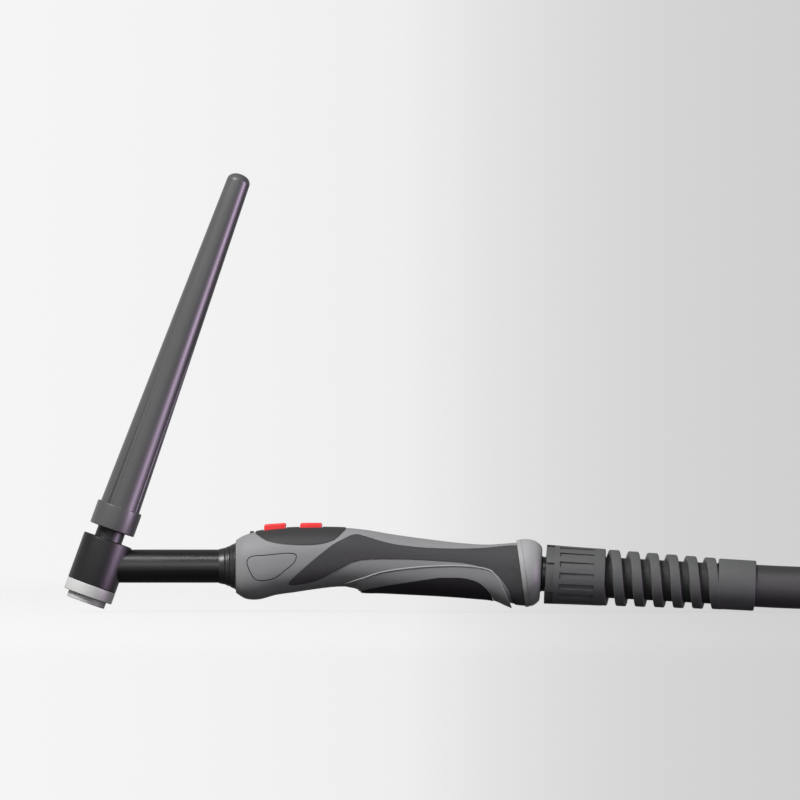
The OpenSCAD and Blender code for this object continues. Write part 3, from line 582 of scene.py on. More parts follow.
@dataclass(frozen=True)
class Jacket:
    """Hose jacket: smooth matt rubber with faint lengthwise draw lines and scuffs, on the hose's own UV map."""

    name: str
    colour: Colour
    rough: float = 0.52

    def material(self) -> Material:
        """Builds the material."""
        s = Shader(self.name)
        where = s.place()
        uv = s.node("ShaderNodeUVMap", {"uv_map": "hose"})
        along, across, _ = s.parts(uv)
        line = s.node("ShaderNodeCombineXYZ", None, {0: along * 0.02, 1: across})
        drawn = s.noise(line, 420, 3)
        scuff = s.noise(where, 180, 5, 0.7).between(0.6, 0.75) * 0.14
        colour = s.mix(scuff, self.colour, shade(self.colour, 3.2))
        fine = s.noise(where, 2600, 2)
        return s.close({"Base Color": colour, "Roughness": scuff * 1.2 + self.rough, "Specular IOR Level": 0.4,
                        "Normal": s.bump(drawn * 0.6 + fine * 0.4, 0.00004)})


@dataclass(frozen=True)
class Webbing:
    """Woven strap: plain weave by Object coordinates."""

    name: str
    colour: Colour
    thread: float = 0.0009

    def material(self) -> Material:
        """Builds the material."""
        s = Shader(self.name)
        x, y, z = s.parts(s.place())
        turn = math.pi / self.thread
        weave = ((x + y) * turn).sine() * (z * turn).sine() * 0.5 + 0.5
        fuzz = s.noise(s.place(), 1600, 3)
        colour = s.mix(weave * 0.7 + fuzz * 0.3, shade(self.colour, 0.5), shade(self.colour, 1.8))
        return s.close({"Base Color": colour, "Roughness": 0.9, "Specular IOR Level": 0.15,
                        "Normal": s.bump(weave + fuzz * 0.4, 0.00018)})


# ---- finishes


FINISHES: dict[str, Moulded | Turned | Jacket | Webbing] = {finish.name: finish for finish in (
    Moulded("cover_black", (0.008, 0.008, 0.0085), 0.42, 0.22, dust=0.0),
    Moulded("gasket_white", (0.42, 0.42, 0.415), 0.5, 0.3, flow=0.02, dust=0.0),
    Moulded("cap_grey", (0.062, 0.062, 0.0635), 0.4, 0.3, 0.00001, dust=0.01),
    Turned("brass", (0.72, 0.52, 0.24)),
    Turned("copper", (0.72, 0.40, 0.26), 0.35),
    Moulded("neck_black", (0.0035, 0.0035, 0.0037), 0.3, 0.42, 0.000006, 0.0012, 0.04, 0.0),
    Moulded("boot_black", (0.014, 0.014, 0.015), 0.36, 0.35, 0.000008, dust=0.0),
    Moulded("seal_black", (0.012, 0.012, 0.012), 0.35, 0.4, 0.000008),
    Moulded("shell_grey", (0.190, 0.191, 0.195), 0.6, 0.22, 0.00004, 0.0006, dust=0.02),
    Moulded("panel_grey", (0.195, 0.196, 0.200), 0.6, 0.22, 0.00004, 0.0006, dust=0.02),
    Moulded("belly_grey", (0.172, 0.173, 0.177), 0.56, 0.22, 0.00004, 0.0006, dust=0.02),
    Moulded("grip_dark", (0.040, 0.040, 0.0415), 0.72, 0.15, 0.00006, 0.0005, 0.06, 0.02),
    Moulded("pad_black", (0.0075, 0.0075, 0.008), 0.7, 0.1, 0.00006, 0.0005, 0.06, 0.01),
    Turned("screw_steel", (0.62, 0.62, 0.61), 0.3),
    Moulded("switch_grey", (0.025, 0.025, 0.026), 0.55, 0.2, dust=0.01),
    Moulded("board_green", (0.03, 0.2, 0.08), 0.35, 0.5, 0.00001),
    Moulded("switch_body", (0.04, 0.04, 0.045), 0.5, 0.4),
    Moulded("button_red", (0.66, 0.018, 0.018), 0.42, 0.3, 0.000015, 0.0006, 0.03, 0.0),
    Moulded("ring_grey", (0.270, 0.271, 0.276), 0.5, 0.16, 0.00002, 0.0006, 0.04, 0.01),
    Moulded("seat_cream", (0.7, 0.68, 0.6), 0.4, 0.4, 0.00001),
    Moulded("ball_black", (0.02, 0.02, 0.022), 0.35, 0.45, 0.00001),
    Ribbed("relief_grey", (0.071, 0.073, 0.072), 0.62, 0.2, 0.00005, 0.0006, dust=0.02),
    Moulded("cable_brown", (0.05, 0.033, 0.026), 0.45, 0.4, 0.00002),
    Moulded("lead_red", (0.42, 0.02, 0.02), 0.4, 0.4, 0.00001),
    Jacket("hose_black", (0.0155, 0.0165, 0.016)),
    Webbing("tie_black", (0.018, 0.018, 0.019)),
    Moulded("plug_boot_black", (0.02, 0.02, 0.021), 0.65, 0.3),
    Moulded("plug_black", (0.03, 0.03, 0.032), 0.5, 0.35),
    Moulded("nut_grey", (0.09, 0.09, 0.094), 0.5, 0.35),
)}


class Palette:
    """Makes each finish's material once, when it is first asked for."""

    def __init__(self) -> None:
        """Starts with no materials."""
        self.made: dict[str, Material] = {}

    def material(self, slot: str) -> Material:
        """The material of a slot."""
        if slot not in self.made:
            self.made[slot] = FINISHES[slot].material()
        return self.made[slot]


PALETTE = Palette()


def settle(piece: Piece, place: Matrix, body: str, slot: str, *nodes: str) -> Piece:
    """Puts a piece that was made in millimetres where it belongs, and dresses it.

    Args:
        piece: The new piece.
        place: Its place, with the change from millimetres.
        body: Body that it rides on.
        slot: Slot that its finish comes from.
        nodes: Nodes that it stands for.

    Returns:
        The piece.
    """
    piece.data.transform(place)
    piece.data.materials.clear()
    piece.data.materials.append(PALETTE.material(slot))
    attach(piece, body)
    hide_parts(*nodes)
    LOG.info("%s: %d faces, on %s", piece.name, len(piece.data.polygons), body)
    return piece


@dataclass(frozen=True)
class Places:
    """Axes that the sub-assemblies stand on, in metres.

    Attributes:
        ball: Centre of the ball joint.
        tail: Direction of the bend relief's axis.
        head: Direction of the head's axis.
        neck: Where the neck's axis meets the head's.
    """

    ball: Vector
    tail: Vector
    head: Vector
    neck: Vector

    @classmethod
    def read(cls, joints: Sequence[dict], ball_from_neck: Vector) -> Places:
        """Takes the axes from the frame's joints.

        Args:
            joints: The frame's joints.
            ball_from_neck: Offset in millimetres of the ball's centre from the head's axis.

        Returns:
            The axes.
        """
        named = {joint["name"]: joint for joint in joints}
        ball = Vector(named["ball_pitch"]["pos_m"])
        return cls(ball, Vector(named["tail_swivel"]["axis"]), Vector(named["cap_lift"]["axis"]),
                   ball - ball_from_neck * MM)

    def at_head(self) -> Matrix:
        """From millimetres along the head's axis."""
        return axis_place(self.neck, self.head) @ Matrix.Scale(MM, 4)

    def at_neck(self) -> Matrix:
        """From millimetres in the handle's own frame."""
        return Matrix.Translation(self.neck) @ Matrix.Scale(MM, 4)

    def at_tail(self) -> Matrix:
        """From millimetres along the bend relief's axis."""
        return axis_place(self.ball, self.tail) @ Matrix.Scale(MM, 4)


ALONG_X = Matrix.Rotation(math.radians(90), 4, "Y")
UPRIGHT = Matrix.Rotation(math.radians(90), 4, "X")
FAR = 60.0  # past every piece that a tool cuts
BALL_FROM_NECK = Vector((191.9, 0, -3.06))  # ball's centre from where the neck's axis meets the head's
SOCKET_R = 12.6  # radius of the ball joint's room, in the shells and the rear ring
FACE_LEAN = 7.7  # lean in degrees of the face between handle and rear ring
FACE_FRONT = 1.9  # how far that face lies before the ball's centre


def pin(radius: float, low: float, high: float, steps: int = 48) -> Mesh:
    """A plain round bar along +Z, used as a cutting tool."""
    return lathe([(0, low), (radius, low), (radius, high), (0, high)], steps)


def capsule(radius: float, low: float, high: float, steps: int = 24) -> Mesh:
    """A round bar along +Z with round ends."""
    arc = [math.radians(90 * k / 6) for k in range(7)]
    lower = [(radius * math.sin(a), low + radius - radius * math.cos(a)) for a in arc]
    upper = [(radius * math.cos(a), high - radius + radius * math.sin(a)) for a in arc]
    return lathe([*lower, *upper[:-1], (0, high)], steps)


# ---- head


@dataclass
class Head:
    """Insulated head with its gasket below and the long back cap above, in millimetres along its own axis."""

    places: Places
    cover_r: float = 11.3
    cover_low: float = -8.95
    cover_top: float = 12.6
    collar_r: float = 6.4
    collar_top: float = 17.5
    barrel_r: float = 8.05
    barrel_top: float = 12.05
    stub_r: float = 5.95
    boss_r: float = 6.45
    gasket_bore: float = 6.3
    gasket_low: float = -14.3
    gasket_step_r: float = 8.9
    gasket_end: float = -17.3
    cap_low: float = 17.55
    ring_r: float = 10.4
    ring_h: float = 10.8
    cone_r: float = 9.1
    tip_r: float = 5.3
    cone_h: float = 155.5
    dome_h: float = 3.8
    electrode_r: float = 2.6
    socket_h: float = 12.05
    flute_angles: tuple[int, ...] = (60, 150, 240, 330)
    flute_r: float = 1.6
    flute_depth: float = 1.0
    flute_share: float = 0.67

    def build(self) -> None:
        """Makes the head's pieces."""
        place = self.places.at_head()
        settle(self.cover(), place, "torch", "cover_black", "head_cover")
        settle(self.gasket(), place, "torch", "gasket_white", "cup_gasket")
        settle(self.cap(), place, "cap", "cap_grey", "back_cap")

    def cover(self) -> Piece:
        """Insulating cover with its collar, open below and round the neck's boss."""
        outside = rounded([(self.barrel_r, self.cover_low), (self.cover_r, self.cover_low),
                           (self.cover_r, self.cover_top), (self.collar_r, self.cover_top),
                           (self.collar_r, self.collar_top), (self.stub_r, self.collar_top),
                           (self.stub_r, self.barrel_top), (self.barrel_r, self.barrel_top)], 0.5)
        piece = finished(lathe(outside, 128), "head_cover_skin")
        lean = Vector((0, 0, 1)).rotation_difference(self.places.head).to_matrix().to_4x4().inverted()
        return carve(piece, moved(pin(self.boss_r, 0, 30), lean @ ALONG_X))

    def gasket(self) -> Piece:
        """White gasket in two steps."""
        line = rounded([(self.gasket_bore, self.cover_low), (self.cover_r, self.cover_low),
                        (self.cover_r, self.gasket_low), (self.gasket_step_r, self.gasket_low),
                        (self.gasket_step_r, self.gasket_end), (self.gasket_bore, self.gasket_end)], 0.4)
        return finished(lathe(line, 128), "cup_gasket_skin")

    def flutes(self) -> Piece:
        """Leaning bars that cut the flutes, which fade out up the cone."""
        fall = (self.cone_r - self.tip_r - self.flute_depth / self.flute_share) / self.cone_h
        bar = moved(pin(self.flute_r, 0.05, self.cone_h, 64), Matrix.Translation(
            (self.cone_r - self.flute_depth + self.flute_r, 0, self.cap_low + self.ring_h))
            @ Matrix.Rotation(-math.atan(fall), 4, "Y"))
        bars = [moved(bar.copy(), Matrix.Rotation(math.radians(angle), 4, "Z")) for angle in self.flute_angles]
        bar.free()
        return finished(joined(*bars), "flutes")

    def cap(self) -> Piece:
        """Back cap: gripping ring, fluted cone and rounded tip, bored for the electrode."""
        ring_top = self.cap_low + self.ring_h
        tip = ring_top + self.cone_h
        ring = rounded([(self.stub_r, self.cap_low), (self.ring_r, self.cap_low), (self.ring_r, ring_top),
                        (self.cone_r, ring_top)], 0.6, 5, False)
        cone = [(self.cone_r + (self.tip_r - self.cone_r) * k / 12, ring_top + self.cone_h * k / 12)
                for k in range(1, 13)]
        dome = [(self.tip_r * math.cos(a) ** 0.9, tip + self.dome_h * math.sin(a))
                for a in (math.radians(90 * k / 12) for k in range(1, 12))]
        bore = [(0, tip + self.dome_h), (0, tip - 2), (self.electrode_r, tip - 2),
                (self.electrode_r, self.cap_low + self.socket_h), (self.stub_r, self.cap_low + self.socket_h)]
        piece = finished(lathe([*ring, *cone, *dome, *bore], 144), "back_cap_skin", sharp=40)
        return carve(piece, self.flutes())


# ---- neck


@dataclass
class Neck:
    """Insulated neck and the flared boot before the handle, in millimetres along the neck's axis."""

    places: Places
    radius: float = 7.5
    bore: float = 4.95
    head_r: float = 11.3
    boot_at: float = 54.2
    boot_len: float = 7.7
    boot_r: float = 10.8
    tail_in: float = 4.0
    seams: tuple[float, ...] = (2.7, 4.8, 7.0)

    def build(self) -> None:
        """Makes the neck's pieces."""
        place = self.places.at_neck()
        settle(self.sleeve(), place, "torch", "neck_black", "neck_sleeve")
        settle(self.boot(), place, "torch", "boot_black", "neck_boot")

    def sleeve(self) -> Piece:
        """Glossy sleeve, cut to the head's round cover at its front."""
        end = self.boot_at + self.boot_len + self.tail_in
        rows = [(self.radius, end * k / 40) for k in range(41)]
        form = lathe([(self.bore, 0), *rows, (self.bore, end)], 96)
        piece = finished(moved(form, ALONG_X), "neck_sleeve_skin")
        lean = Vector((0, 0, 1)).rotation_difference(self.places.head).to_matrix().to_4x4()
        return carve(piece, moved(pin(self.head_r, -FAR, FAR, 128), lean))

    def boot(self) -> Piece:
        """Flared boot with three fine step lines, and the collar that the shells hold."""
        flare, rows = self.boot_r - self.radius, 48
        line = []
        for k in range(rows + 1):
            t = k / rows
            seam = sum(max(0.0, 1 - abs(t * self.boot_len - at) / 0.22) for at in self.seams)
            line.append((self.radius + 0.25 + (flare - 0.25) * (0.25 * t + 0.75 * t**1.8) - 0.28 * seam,
                         self.boot_len * t))
        back = self.boot_len
        tail = [(self.radius + 1.4, back), (self.radius + 1.4, back + 2), (self.radius + 2.2, back + 2),
                (self.radius + 2.2, back + 3.4), (self.radius + 0.05, back + 3.4)]
        bm = lathe([(self.radius + 0.05, 0), *line, *tail], 128)
        return finished(bm, "neck_boot_skin", Matrix.Translation((self.boot_at, 0, 0)) @ ALONG_X)


# ---- handle


@dataclass
class Handle:
    """Two-part handle with soft inlays, covers and buttons, in millimetres from the head's axis."""

    places: Places
    start: float = 61.9
    length: float = 128.0
    height: float = 32.4
    width: float = 29.2
    power: float = 2.4
    wall: float = 2.6
    inlay: float = 1.1
    proud: float = 0.3
    belly_proud: float = 0.7
    bead_r: float = 0.45
    gap: float = 0.12
    panel_groove: float = 0.4
    neck_r: float = 7.55
    screws: tuple[Point2, ...] = ((0.045, 0.32), (0.055, -0.35), (0.17, -0.27))
    screw_seat: float = 7.0
    screw_head_r: float = 2.35
    button_at: tuple[float, ...] = (79.5, 95.7)
    button_len: float = 9.9
    button_w: float = 9.0
    button_gap: float = 0.3
    flange_low: float = 12.74
    crown: float = 19.5
    board_z: float = 7.5
    board_x: Point2 = (12.0, 47.1)
    board_half: float = 10.5
    board_t: float = 1.8
    switch_room: float = 1.6
    cable_r: float = 5.0
    cable_at: float = 91.15
    cable_lean: float = 91.74
    screw_r: float = 1.15
    steps: int = 120
    sides: int = 120
    top_line: tuple[Point2, ...] = (
        (0, 0.364), (0.03, 0.43), (0.09, 0.495), (0.19, 0.534), (0.36, 0.537), (0.45, 0.508),
        (0.56, 0.436), (0.68, 0.372), (0.79, 0.322), (0.88, 0.3), (0.98, 0.325), (1.05, 0.345))
    bottom_line: tuple[Point2, ...] = (
        (0, -0.372), (0.03, -0.446), (0.06, -0.466), (0.09, -0.455), (0.14, -0.4), (0.2, -0.366),
        (0.3, -0.308), (0.37, -0.284), (0.6, -0.3), (0.73, -0.33), (0.85, -0.388), (0.98, -0.525),
        (1.05, -0.55))
    side_line: tuple[Point2, ...] = (
        (0, 0.395), (0.03, 0.466), (0.1, 0.5), (0.25, 0.5), (0.38, 0.48), (0.52, 0.432),
        (0.66, 0.394), (0.8, 0.378), (0.88, 0.386), (0.95, 0.42), (1, 0.458), (1.05, 0.466))
    belly_line: tuple[Point2, ...] = (
        (0.34, -0.25), (0.4, -0.296), (0.425, -0.32), (0.44, -0.362), (0.51, -0.371), (0.62, -0.392),
        (0.735, -0.417), (0.84, -0.449), (0.905, -0.479), (0.95, -0.555), (0.99, -0.62))
    grip_line: tuple[Point2, ...] = (
        (0.186, -0.242), (0.24, -0.02), (0.33, 0.272), (0.385, 0.4), (0.42, 0.446), (0.452, 0.424),
        (0.54, 0.322), (0.64, 0.268), (0.75, 0.248), (0.86, 0.254), (0.97, 0.29), (1.04, 0.26), (1.06, -0.1),
        (1.06, -0.55), (0.985, -0.55), (0.955, -0.32), (0.915, -0.11), (0.87, -0.02), (0.8, 0.05), (0.7, 0.08),
        (0.6, 0.1), (0.47, 0.1), (0.41, 0.06), (0.35, -0.06), (0.295, -0.18), (0.24, -0.242))
    cover_line: tuple[Point2, ...] = (
        (0.34, -0.29), (0.44, -0.17), (0.505, -0.085), (0.572, -0.04), (0.64, -0.012), (0.7, 0.004),
        (0.77, 0.01), (0.83, -0.004), (0.872, -0.03), (0.9, -0.075), (0.925, -0.2), (0.947, -0.38),
        (0.971, -0.6))
    pad_line: tuple[Point2, ...] = (
        (0.43, -0.372), (0.46, -0.33), (0.52, -0.275), (0.6, -0.225), (0.7, -0.164), (0.75, -0.155),
        (0.8, -0.164), (0.85, -0.22), (0.885, -0.34), (0.905, -0.47))
    saddle_line: tuple[Point2, ...] = (
        (0.07, 0.456), (0.11, 0.36), (0.17, 0.314), (0.23, 0.302), (0.28, 0.308),
        (0.32, 0.338), (0.35, 0.39), (0.385, 0.52))
    panel_line: tuple[Point2, ...] = (
        (0.038, 0.06), (0.055, 0.145), (0.11, 0.165), (0.185, 0.192), (0.213, 0.16), (0.205, 0.05),
        (0.17, -0.07), (0.14, -0.16), (0.1, -0.2), (0.068, -0.18), (0.05, -0.08))
    forms: dict[tuple[float, ...], Mesh] = field(default_factory=dict)

    def build(self) -> None:
        """Makes the handle's pieces."""
        place = self.places.at_neck()
        for side, name in ((-1, "left"), (1, "right")):
            settle(self.shell(side, f"shell_{name}_skin"), place, "torch", "shell_grey", f"shell_{name}")
            settle(self.grip(side, f"side_grip_{name}_skin"), place, "torch", "grip_dark", f"side_grip_{name}")
        settle(self.panel(), place, "torch", "panel_grey", "side_panel")
        settle(self.cover(), place, "torch", "belly_grey", "belly_cover")
        settle(self.pad(), place, "torch", "pad_black", "belly_grip")
        # The raised edge takes the rear ring's lighter grey, a painted highlight along the belly cover's rim.
        settle(self.bead(), place, "torch", "ring_grey")
        # A near-black strip in the panel's groove is painted shade, standing in for the groove's shadow.
        settle(self.groove_shade_strip(), place, "torch", "pad_black")
        settle(self.latch(), place, "torch", "switch_grey")
        settle(self.housing(), place, "torch", "switch_grey", "switch_housing")
        for at, ramp, name in zip(self.button_at, (0.7, 0.0), ("button_front", "button_rear")):
            settle(self.button(at, ramp, f"{name}_skin"), place, name, "button_red", name)
        for bm in self.forms.values():
            bm.free()

    def spot(self, share: Point2) -> Point2:
        """Place in side view of a share of the length and height."""
        return self.start + share[0] * self.length, share[1] * self.height

    def outline(self, shares: Sequence[Point2], smooth: bool = False, inset: float = 0.0) -> list[Point2]:
        """Side view outline from shares.

        Args:
            shares: Shares of the length and the height.
            smooth: Whether a smooth closed curve goes through them.
            inset: Distance that the outline is drawn in.

        Returns:
            The outline's corners.
        """
        line = [self.spot(share) for share in shares]
        line = around(line) if smooth else line
        area = sum(a[0] * b[1] - b[0] * a[1] for a, b in zip(line, line[1:] + line[:1]))
        turn = inset if area > 0 else -inset
        drawn = []
        for k, here in enumerate(line):
            run = Vector(line[(k + 1) % len(line)]) - Vector(line[k - 1])
            normal = Vector((-run.y, run.x)).normalized()
            drawn.append((here[0] + normal.x * turn, here[1] + normal.y * turn))
        return drawn

    def open_curve(self, shares: Sequence[Point2], steps: int = 6) -> list[Point2]:
        """Smooth curve through shares that are sorted along the handle, as shares."""
        spots = [i + k / steps for i in range(len(shares) - 1) for k in range(steps)] + [len(shares) - 1]
        xs = [(float(i), share[0]) for i, share in enumerate(shares)]
        ys = [(float(i), share[1]) for i, share in enumerate(shares)]
        return [(curve(xs, t), curve(ys, t)) for t in spots]

    def across(self, outline: Sequence[Point2], side: int = 0) -> Mesh:
        """A side view outline made solid across the handle, or over one side of it."""
        low, high = {0: (-FAR, FAR), -1: (0.0, FAR), 1: (-FAR, 0.0)}[side]
        return prism(outline, low, high, UPRIGHT)

    def section(self, u: float, angle: float, inset: float, bottom: float, wide: float) -> Vector:
        """A point of the cross-section at the share u."""
        top = curve(self.top_line, u) * self.height
        c, s = (math.copysign(abs(v) ** (2 / self.power), v) for v in (math.cos(angle), math.sin(angle)))
        half = curve(self.side_line, u) * self.width + wide - inset
        return Vector((self.start + u * self.length, half * c,
                       (top + bottom) / 2 + ((top - bottom) / 2 - inset) * s))

    def form(self, inset: float = 0.0, low: float = 0.0, high: float = 1.05) -> Mesh:
        """The handle's whole form, drawn in by inset."""
        key = (inset, low, high)
        if key not in self.forms:
            def point(along: float, turn: float) -> Vector:
                u = low + (high - low) * along**1.2
                return self.section(u, 2 * math.pi * turn, inset, curve(self.bottom_line, u) * self.height, 0.0)
            self.forms[key] = wrapped(self.steps, self.sides, point)
        return self.forms[key].copy()

    def belly(self, proud: float = 0.0) -> Mesh:
        """The fuller form under the belly, where the cover lies."""
        def point(along: float, turn: float) -> Vector:
            u = 0.345 + 0.645 * along
            return self.section(u, 2 * math.pi * turn, -proud, curve(self.belly_line, u) * self.height,
                                self.belly_proud)
        return wrapped(80, self.sides, point)

    def behind_face(self, gap: float = 0.0) -> Mesh:
        """Everything behind the sloping face that the rear ring bears on."""
        bm = block(Vector((gap - FACE_FRONT, -FAR, -FAR)), Vector((FAR, FAR, FAR)))
        return moved(bm, Matrix.Translation(BALL_FROM_NECK) @ Matrix.Rotation(math.radians(-FACE_LEAN), 4, "Y"))

    def socket(self) -> Mesh:
        """The ball joint's room."""
        bm = bmesh.new()
        bmesh.ops.create_uvsphere(bm, u_segments=96, v_segments=48, radius=SOCKET_R)
        return moved(bm, Matrix.Translation(BALL_FROM_NECK))

    def saddle(self) -> list[Point2]:
        """Outline of the switch housing."""
        return self.outline([*self.open_curve(self.saddle_line), (0.385, 1.0), (0.07, 1.0)])

    def lip(self, line: Sequence[Point2], front: float, rear: float) -> list[Point2]:
        """Outline below a smooth curve in side view, closed far under the handle between two shares."""
        return [*(self.spot(share) for share in self.open_curve(line)),
                (self.start + rear * self.length, -FAR), (self.start + front * self.length, -FAR)]

    def cover_edge(self) -> list[Point2]:
        """Outline of the belly cover."""
        return self.lip(self.cover_line, 0.3, 1.0)

    def pad_edge(self) -> list[Point2]:
        """Outline of the belly cover's soft pad."""
        return self.lip(self.pad_line, 0.43, 0.905)

    def recess(self, outline: list[Point2], side: int, depth: float) -> Piece:
        """Tool that cuts a recess of even depth under an outline."""
        return carve(finished(self.across(outline, side), "recess"), self.form(depth))

    def shell(self, side: int, name: str) -> Piece:
        """One half shell; side is -1 for the left half and 1 for the right half."""
        piece = finished(self.form(), name)
        low, high = (-FAR, 0.0) if side < 0 else (0.0, FAR)
        carve(piece, block(Vector((0, low, -FAR)), Vector((400, high, FAR))), Cut.KEEP)
        carve(piece, self.form(self.wall, 0.06, 0.86))
        carve(piece, self.behind_face())
        carve(piece, self.socket())
        carve(piece, self.recess(self.outline(self.grip_line, True), side, self.inlay))
        carve(piece, self.recess(self.saddle(), 0, self.inlay + 0.2))
        if side < 0:
            carve(piece, self.recess(self.outline(self.panel_line, True), side, self.inlay))
        for tool in self.rooms():
            carve(piece, tool)
        return piece

    def rooms(self) -> list[Mesh]:
        """Tools that cut the neck's seat, the switches' room, the cable's way and the screws' seats."""
        low, far = self.start - 1, self.start + 40
        neck = lathe([(0, low), (self.neck_r + 1.4, low), (self.neck_r + 1.4, self.start + 2),
                      (self.neck_r + 2.2, self.start + 2), (self.neck_r + 2.2, self.start + 3.45),
                      (self.neck_r, self.start + 3.45), (self.neck_r, far), (0, far)], 96)
        front = self.button_at[0] - self.button_len / 2 - self.switch_room
        rear = self.button_at[1] + self.button_len / 2 + self.switch_room
        half = self.button_w / 2 + self.switch_room
        lean = Matrix.Rotation(math.radians(self.cable_lean), 4, "Y")
        tools = [moved(neck, ALONG_X),
                 moved(pin(self.cable_r, 0, 110), Matrix.Translation((self.cable_at, 0, 0)) @ lean),
                 block(Vector((self.start + self.board_x[0], -self.board_half, self.board_z)),
                       Vector((self.start + self.board_x[1], self.board_half, self.board_z + self.board_t))),
                 block(Vector((front, -half, self.board_z)), Vector((rear, half, FAR)))]
        for share in self.screws:
            x, z = self.spot(share)
            stand = Matrix.Translation((x, 0, z)) @ Matrix.Rotation(math.radians(-90), 4, "X")
            tools.append(moved(pin(self.screw_r, -self.screw_seat - 1, FAR, 24), stand))
            tools.append(moved(pin(self.screw_head_r, self.screw_seat, FAR, 32), stand))
        return tools

    def grip(self, side: int, name: str) -> Piece:
        """Soft side grip, proud of its shell by a little."""
        piece = finished(self.form(-self.proud), name)
        carve(piece, self.across(self.outline(self.grip_line, True, self.gap), side), Cut.KEEP)
        carve(piece, self.form(self.inlay))
        carve(piece, self.behind_face())
        carve(piece, self.socket())
        return carve(piece, self.across(self.cover_edge()))

    def panel(self) -> Piece:
        """Panel near the handle's front, in its groove."""
        piece = finished(self.form(0.02), "side_panel_skin")
        carve(piece, self.across(self.outline(self.panel_line, True, self.panel_groove), -1), Cut.KEEP)
        return carve(piece, self.form(self.inlay))

    def groove_shade_strip(self) -> Piece:
        """Near-black strip in the groove round the panel: painted shade that stands in for the groove's shadow.
        """
        piece = finished(self.form(0.12), "panel_groove_shade")
        carve(piece, self.across(self.outline(self.panel_line, True, 0.02), -1), Cut.KEEP)
        carve(piece, self.form(self.inlay))
        return carve(piece, self.across(self.outline(self.panel_line, True, self.panel_groove - 0.02), -1))

    def cover(self) -> Piece:
        """Belly cover, proud of the shells, with its pad's window."""
        piece = finished(self.belly(), "belly_cover_skin")
        carve(piece, self.across(self.cover_edge()), Cut.KEEP)
        carve(piece, self.form())
        carve(piece, self.across(self.pad_edge()))
        return carve(piece, self.behind_face(-0.3))

    def pad(self) -> Piece:
        """Soft pad in the belly cover."""
        piece = finished(self.belly(self.proud), "belly_grip_skin")
        line = self.pad_edge()
        middle = sum((Vector(p) for p in line), Vector((0, 0))) / len(line)
        drawn = [tuple(Vector(p) + (middle - Vector(p)).normalized() * self.gap) for p in line]
        carve(piece, self.across(drawn), Cut.KEEP)
        return carve(piece, self.form())

    def on_belly(self, share: Point2) -> Vector:
        """Place on the belly's left side at a share of the length and height."""
        u, z = share[0], share[1] * self.height
        top, bottom = curve(self.top_line, u) * self.height, curve(self.belly_line, u) * self.height
        off = min(1.0, abs(z - (top + bottom) / 2) / ((top - bottom) / 2))
        half = curve(self.side_line, u) * self.width + self.belly_proud
        return Vector((self.start + u * self.length, -half * (1 - off**self.power) ** (1 / self.power), z))

    def bead(self) -> Piece:
        """Fine raised edge along the belly cover's upper rim, on both sides, in a lighter grey than the cover:
        a painted highlight on a real edge.
        """
        path = [self.on_belly(share) for share in self.open_curve(self.cover_line, 8) if 0.35 < share[0] < 0.97]
        last = len(path) - 1

        def point(along: float, turn: float) -> Vector:
            i = round(along * last)
            run = (path[min(i + 1, last)] - path[max(i - 1, 0)]).normalized()
            side = run.cross(Vector((0, 1, 0))).normalized()
            radius = self.bead_r * (0.25 + 0.75 * math.sin(math.pi * along) ** 0.5)
            angle = math.tau * turn
            return path[i] + radius * (side * math.cos(angle) + run.cross(side) * math.sin(angle))

        near, far = wrapped(last, 12, point), wrapped(last, 12, point)
        bmesh.ops.scale(far, vec=(1, -1, 1), verts=far.verts)
        bmesh.ops.recalc_face_normals(far, faces=far.faces)
        return finished(joined(near, far), "belly_cover_bead_highlight")

    def latch(self) -> Piece:
        """Small tab in front of the switch housing, which snaps over the shells' joint."""
        x, z = self.spot((0.056, curve(self.top_line, 0.056)))
        tab = block(Vector((x - 0.9, -1.6, z - 1.4)), Vector((x + 0.9, 1.6, z + 0.75)), 0.35, 3)
        return finished(tab, "switch_latch")

    def housing(self) -> Piece:
        """Saddle that holds the switches, with a window for each button."""
        piece = finished(self.form(-self.proud), "switch_housing_skin")
        carve(piece, self.across(self.saddle()), Cut.KEEP)
        carve(piece, self.form(self.inlay + 0.2))
        for at in self.button_at:
            half = Vector((self.button_len / 2 + self.button_gap, self.button_w / 2 + self.button_gap, 8))
            middle = Vector((at, 0, 17.3))
            carve(piece, block(middle - half, middle + half))
        return piece

    def button(self, at: float, ramp: float, name: str) -> Piece:
        """Push button with rounded edges on the flange that holds it in its window."""
        half = self.button_len / 2
        side = [(-half, self.flange_low), (half, self.flange_low), (half, self.crown),
                (-half, self.crown - ramp)]
        bm = prism(side, -self.button_w / 2, self.button_w / 2, UPRIGHT)
        top = [e for e in bm.edges if max(v.co.z for v in e.verts) > self.crown - ramp - 0.01]
        bmesh.ops.bevel(bm, geom=top, offset=0.9, affect="EDGES", segments=5, profile=0.5, material=-1)
        flange = block(Vector((-half - 0.8, -self.button_w / 2 - 0.8, self.flange_low)),
                       Vector((half + 0.8, self.button_w / 2 + 0.8, self.flange_low + 1)))
        return carve(finished(moved(bm, Matrix.Translation((at, 0, 0))), name),
                     moved(flange, Matrix.Translation((at, 0, 0))), Cut.JOIN)


# ---- ball joint and bend relief


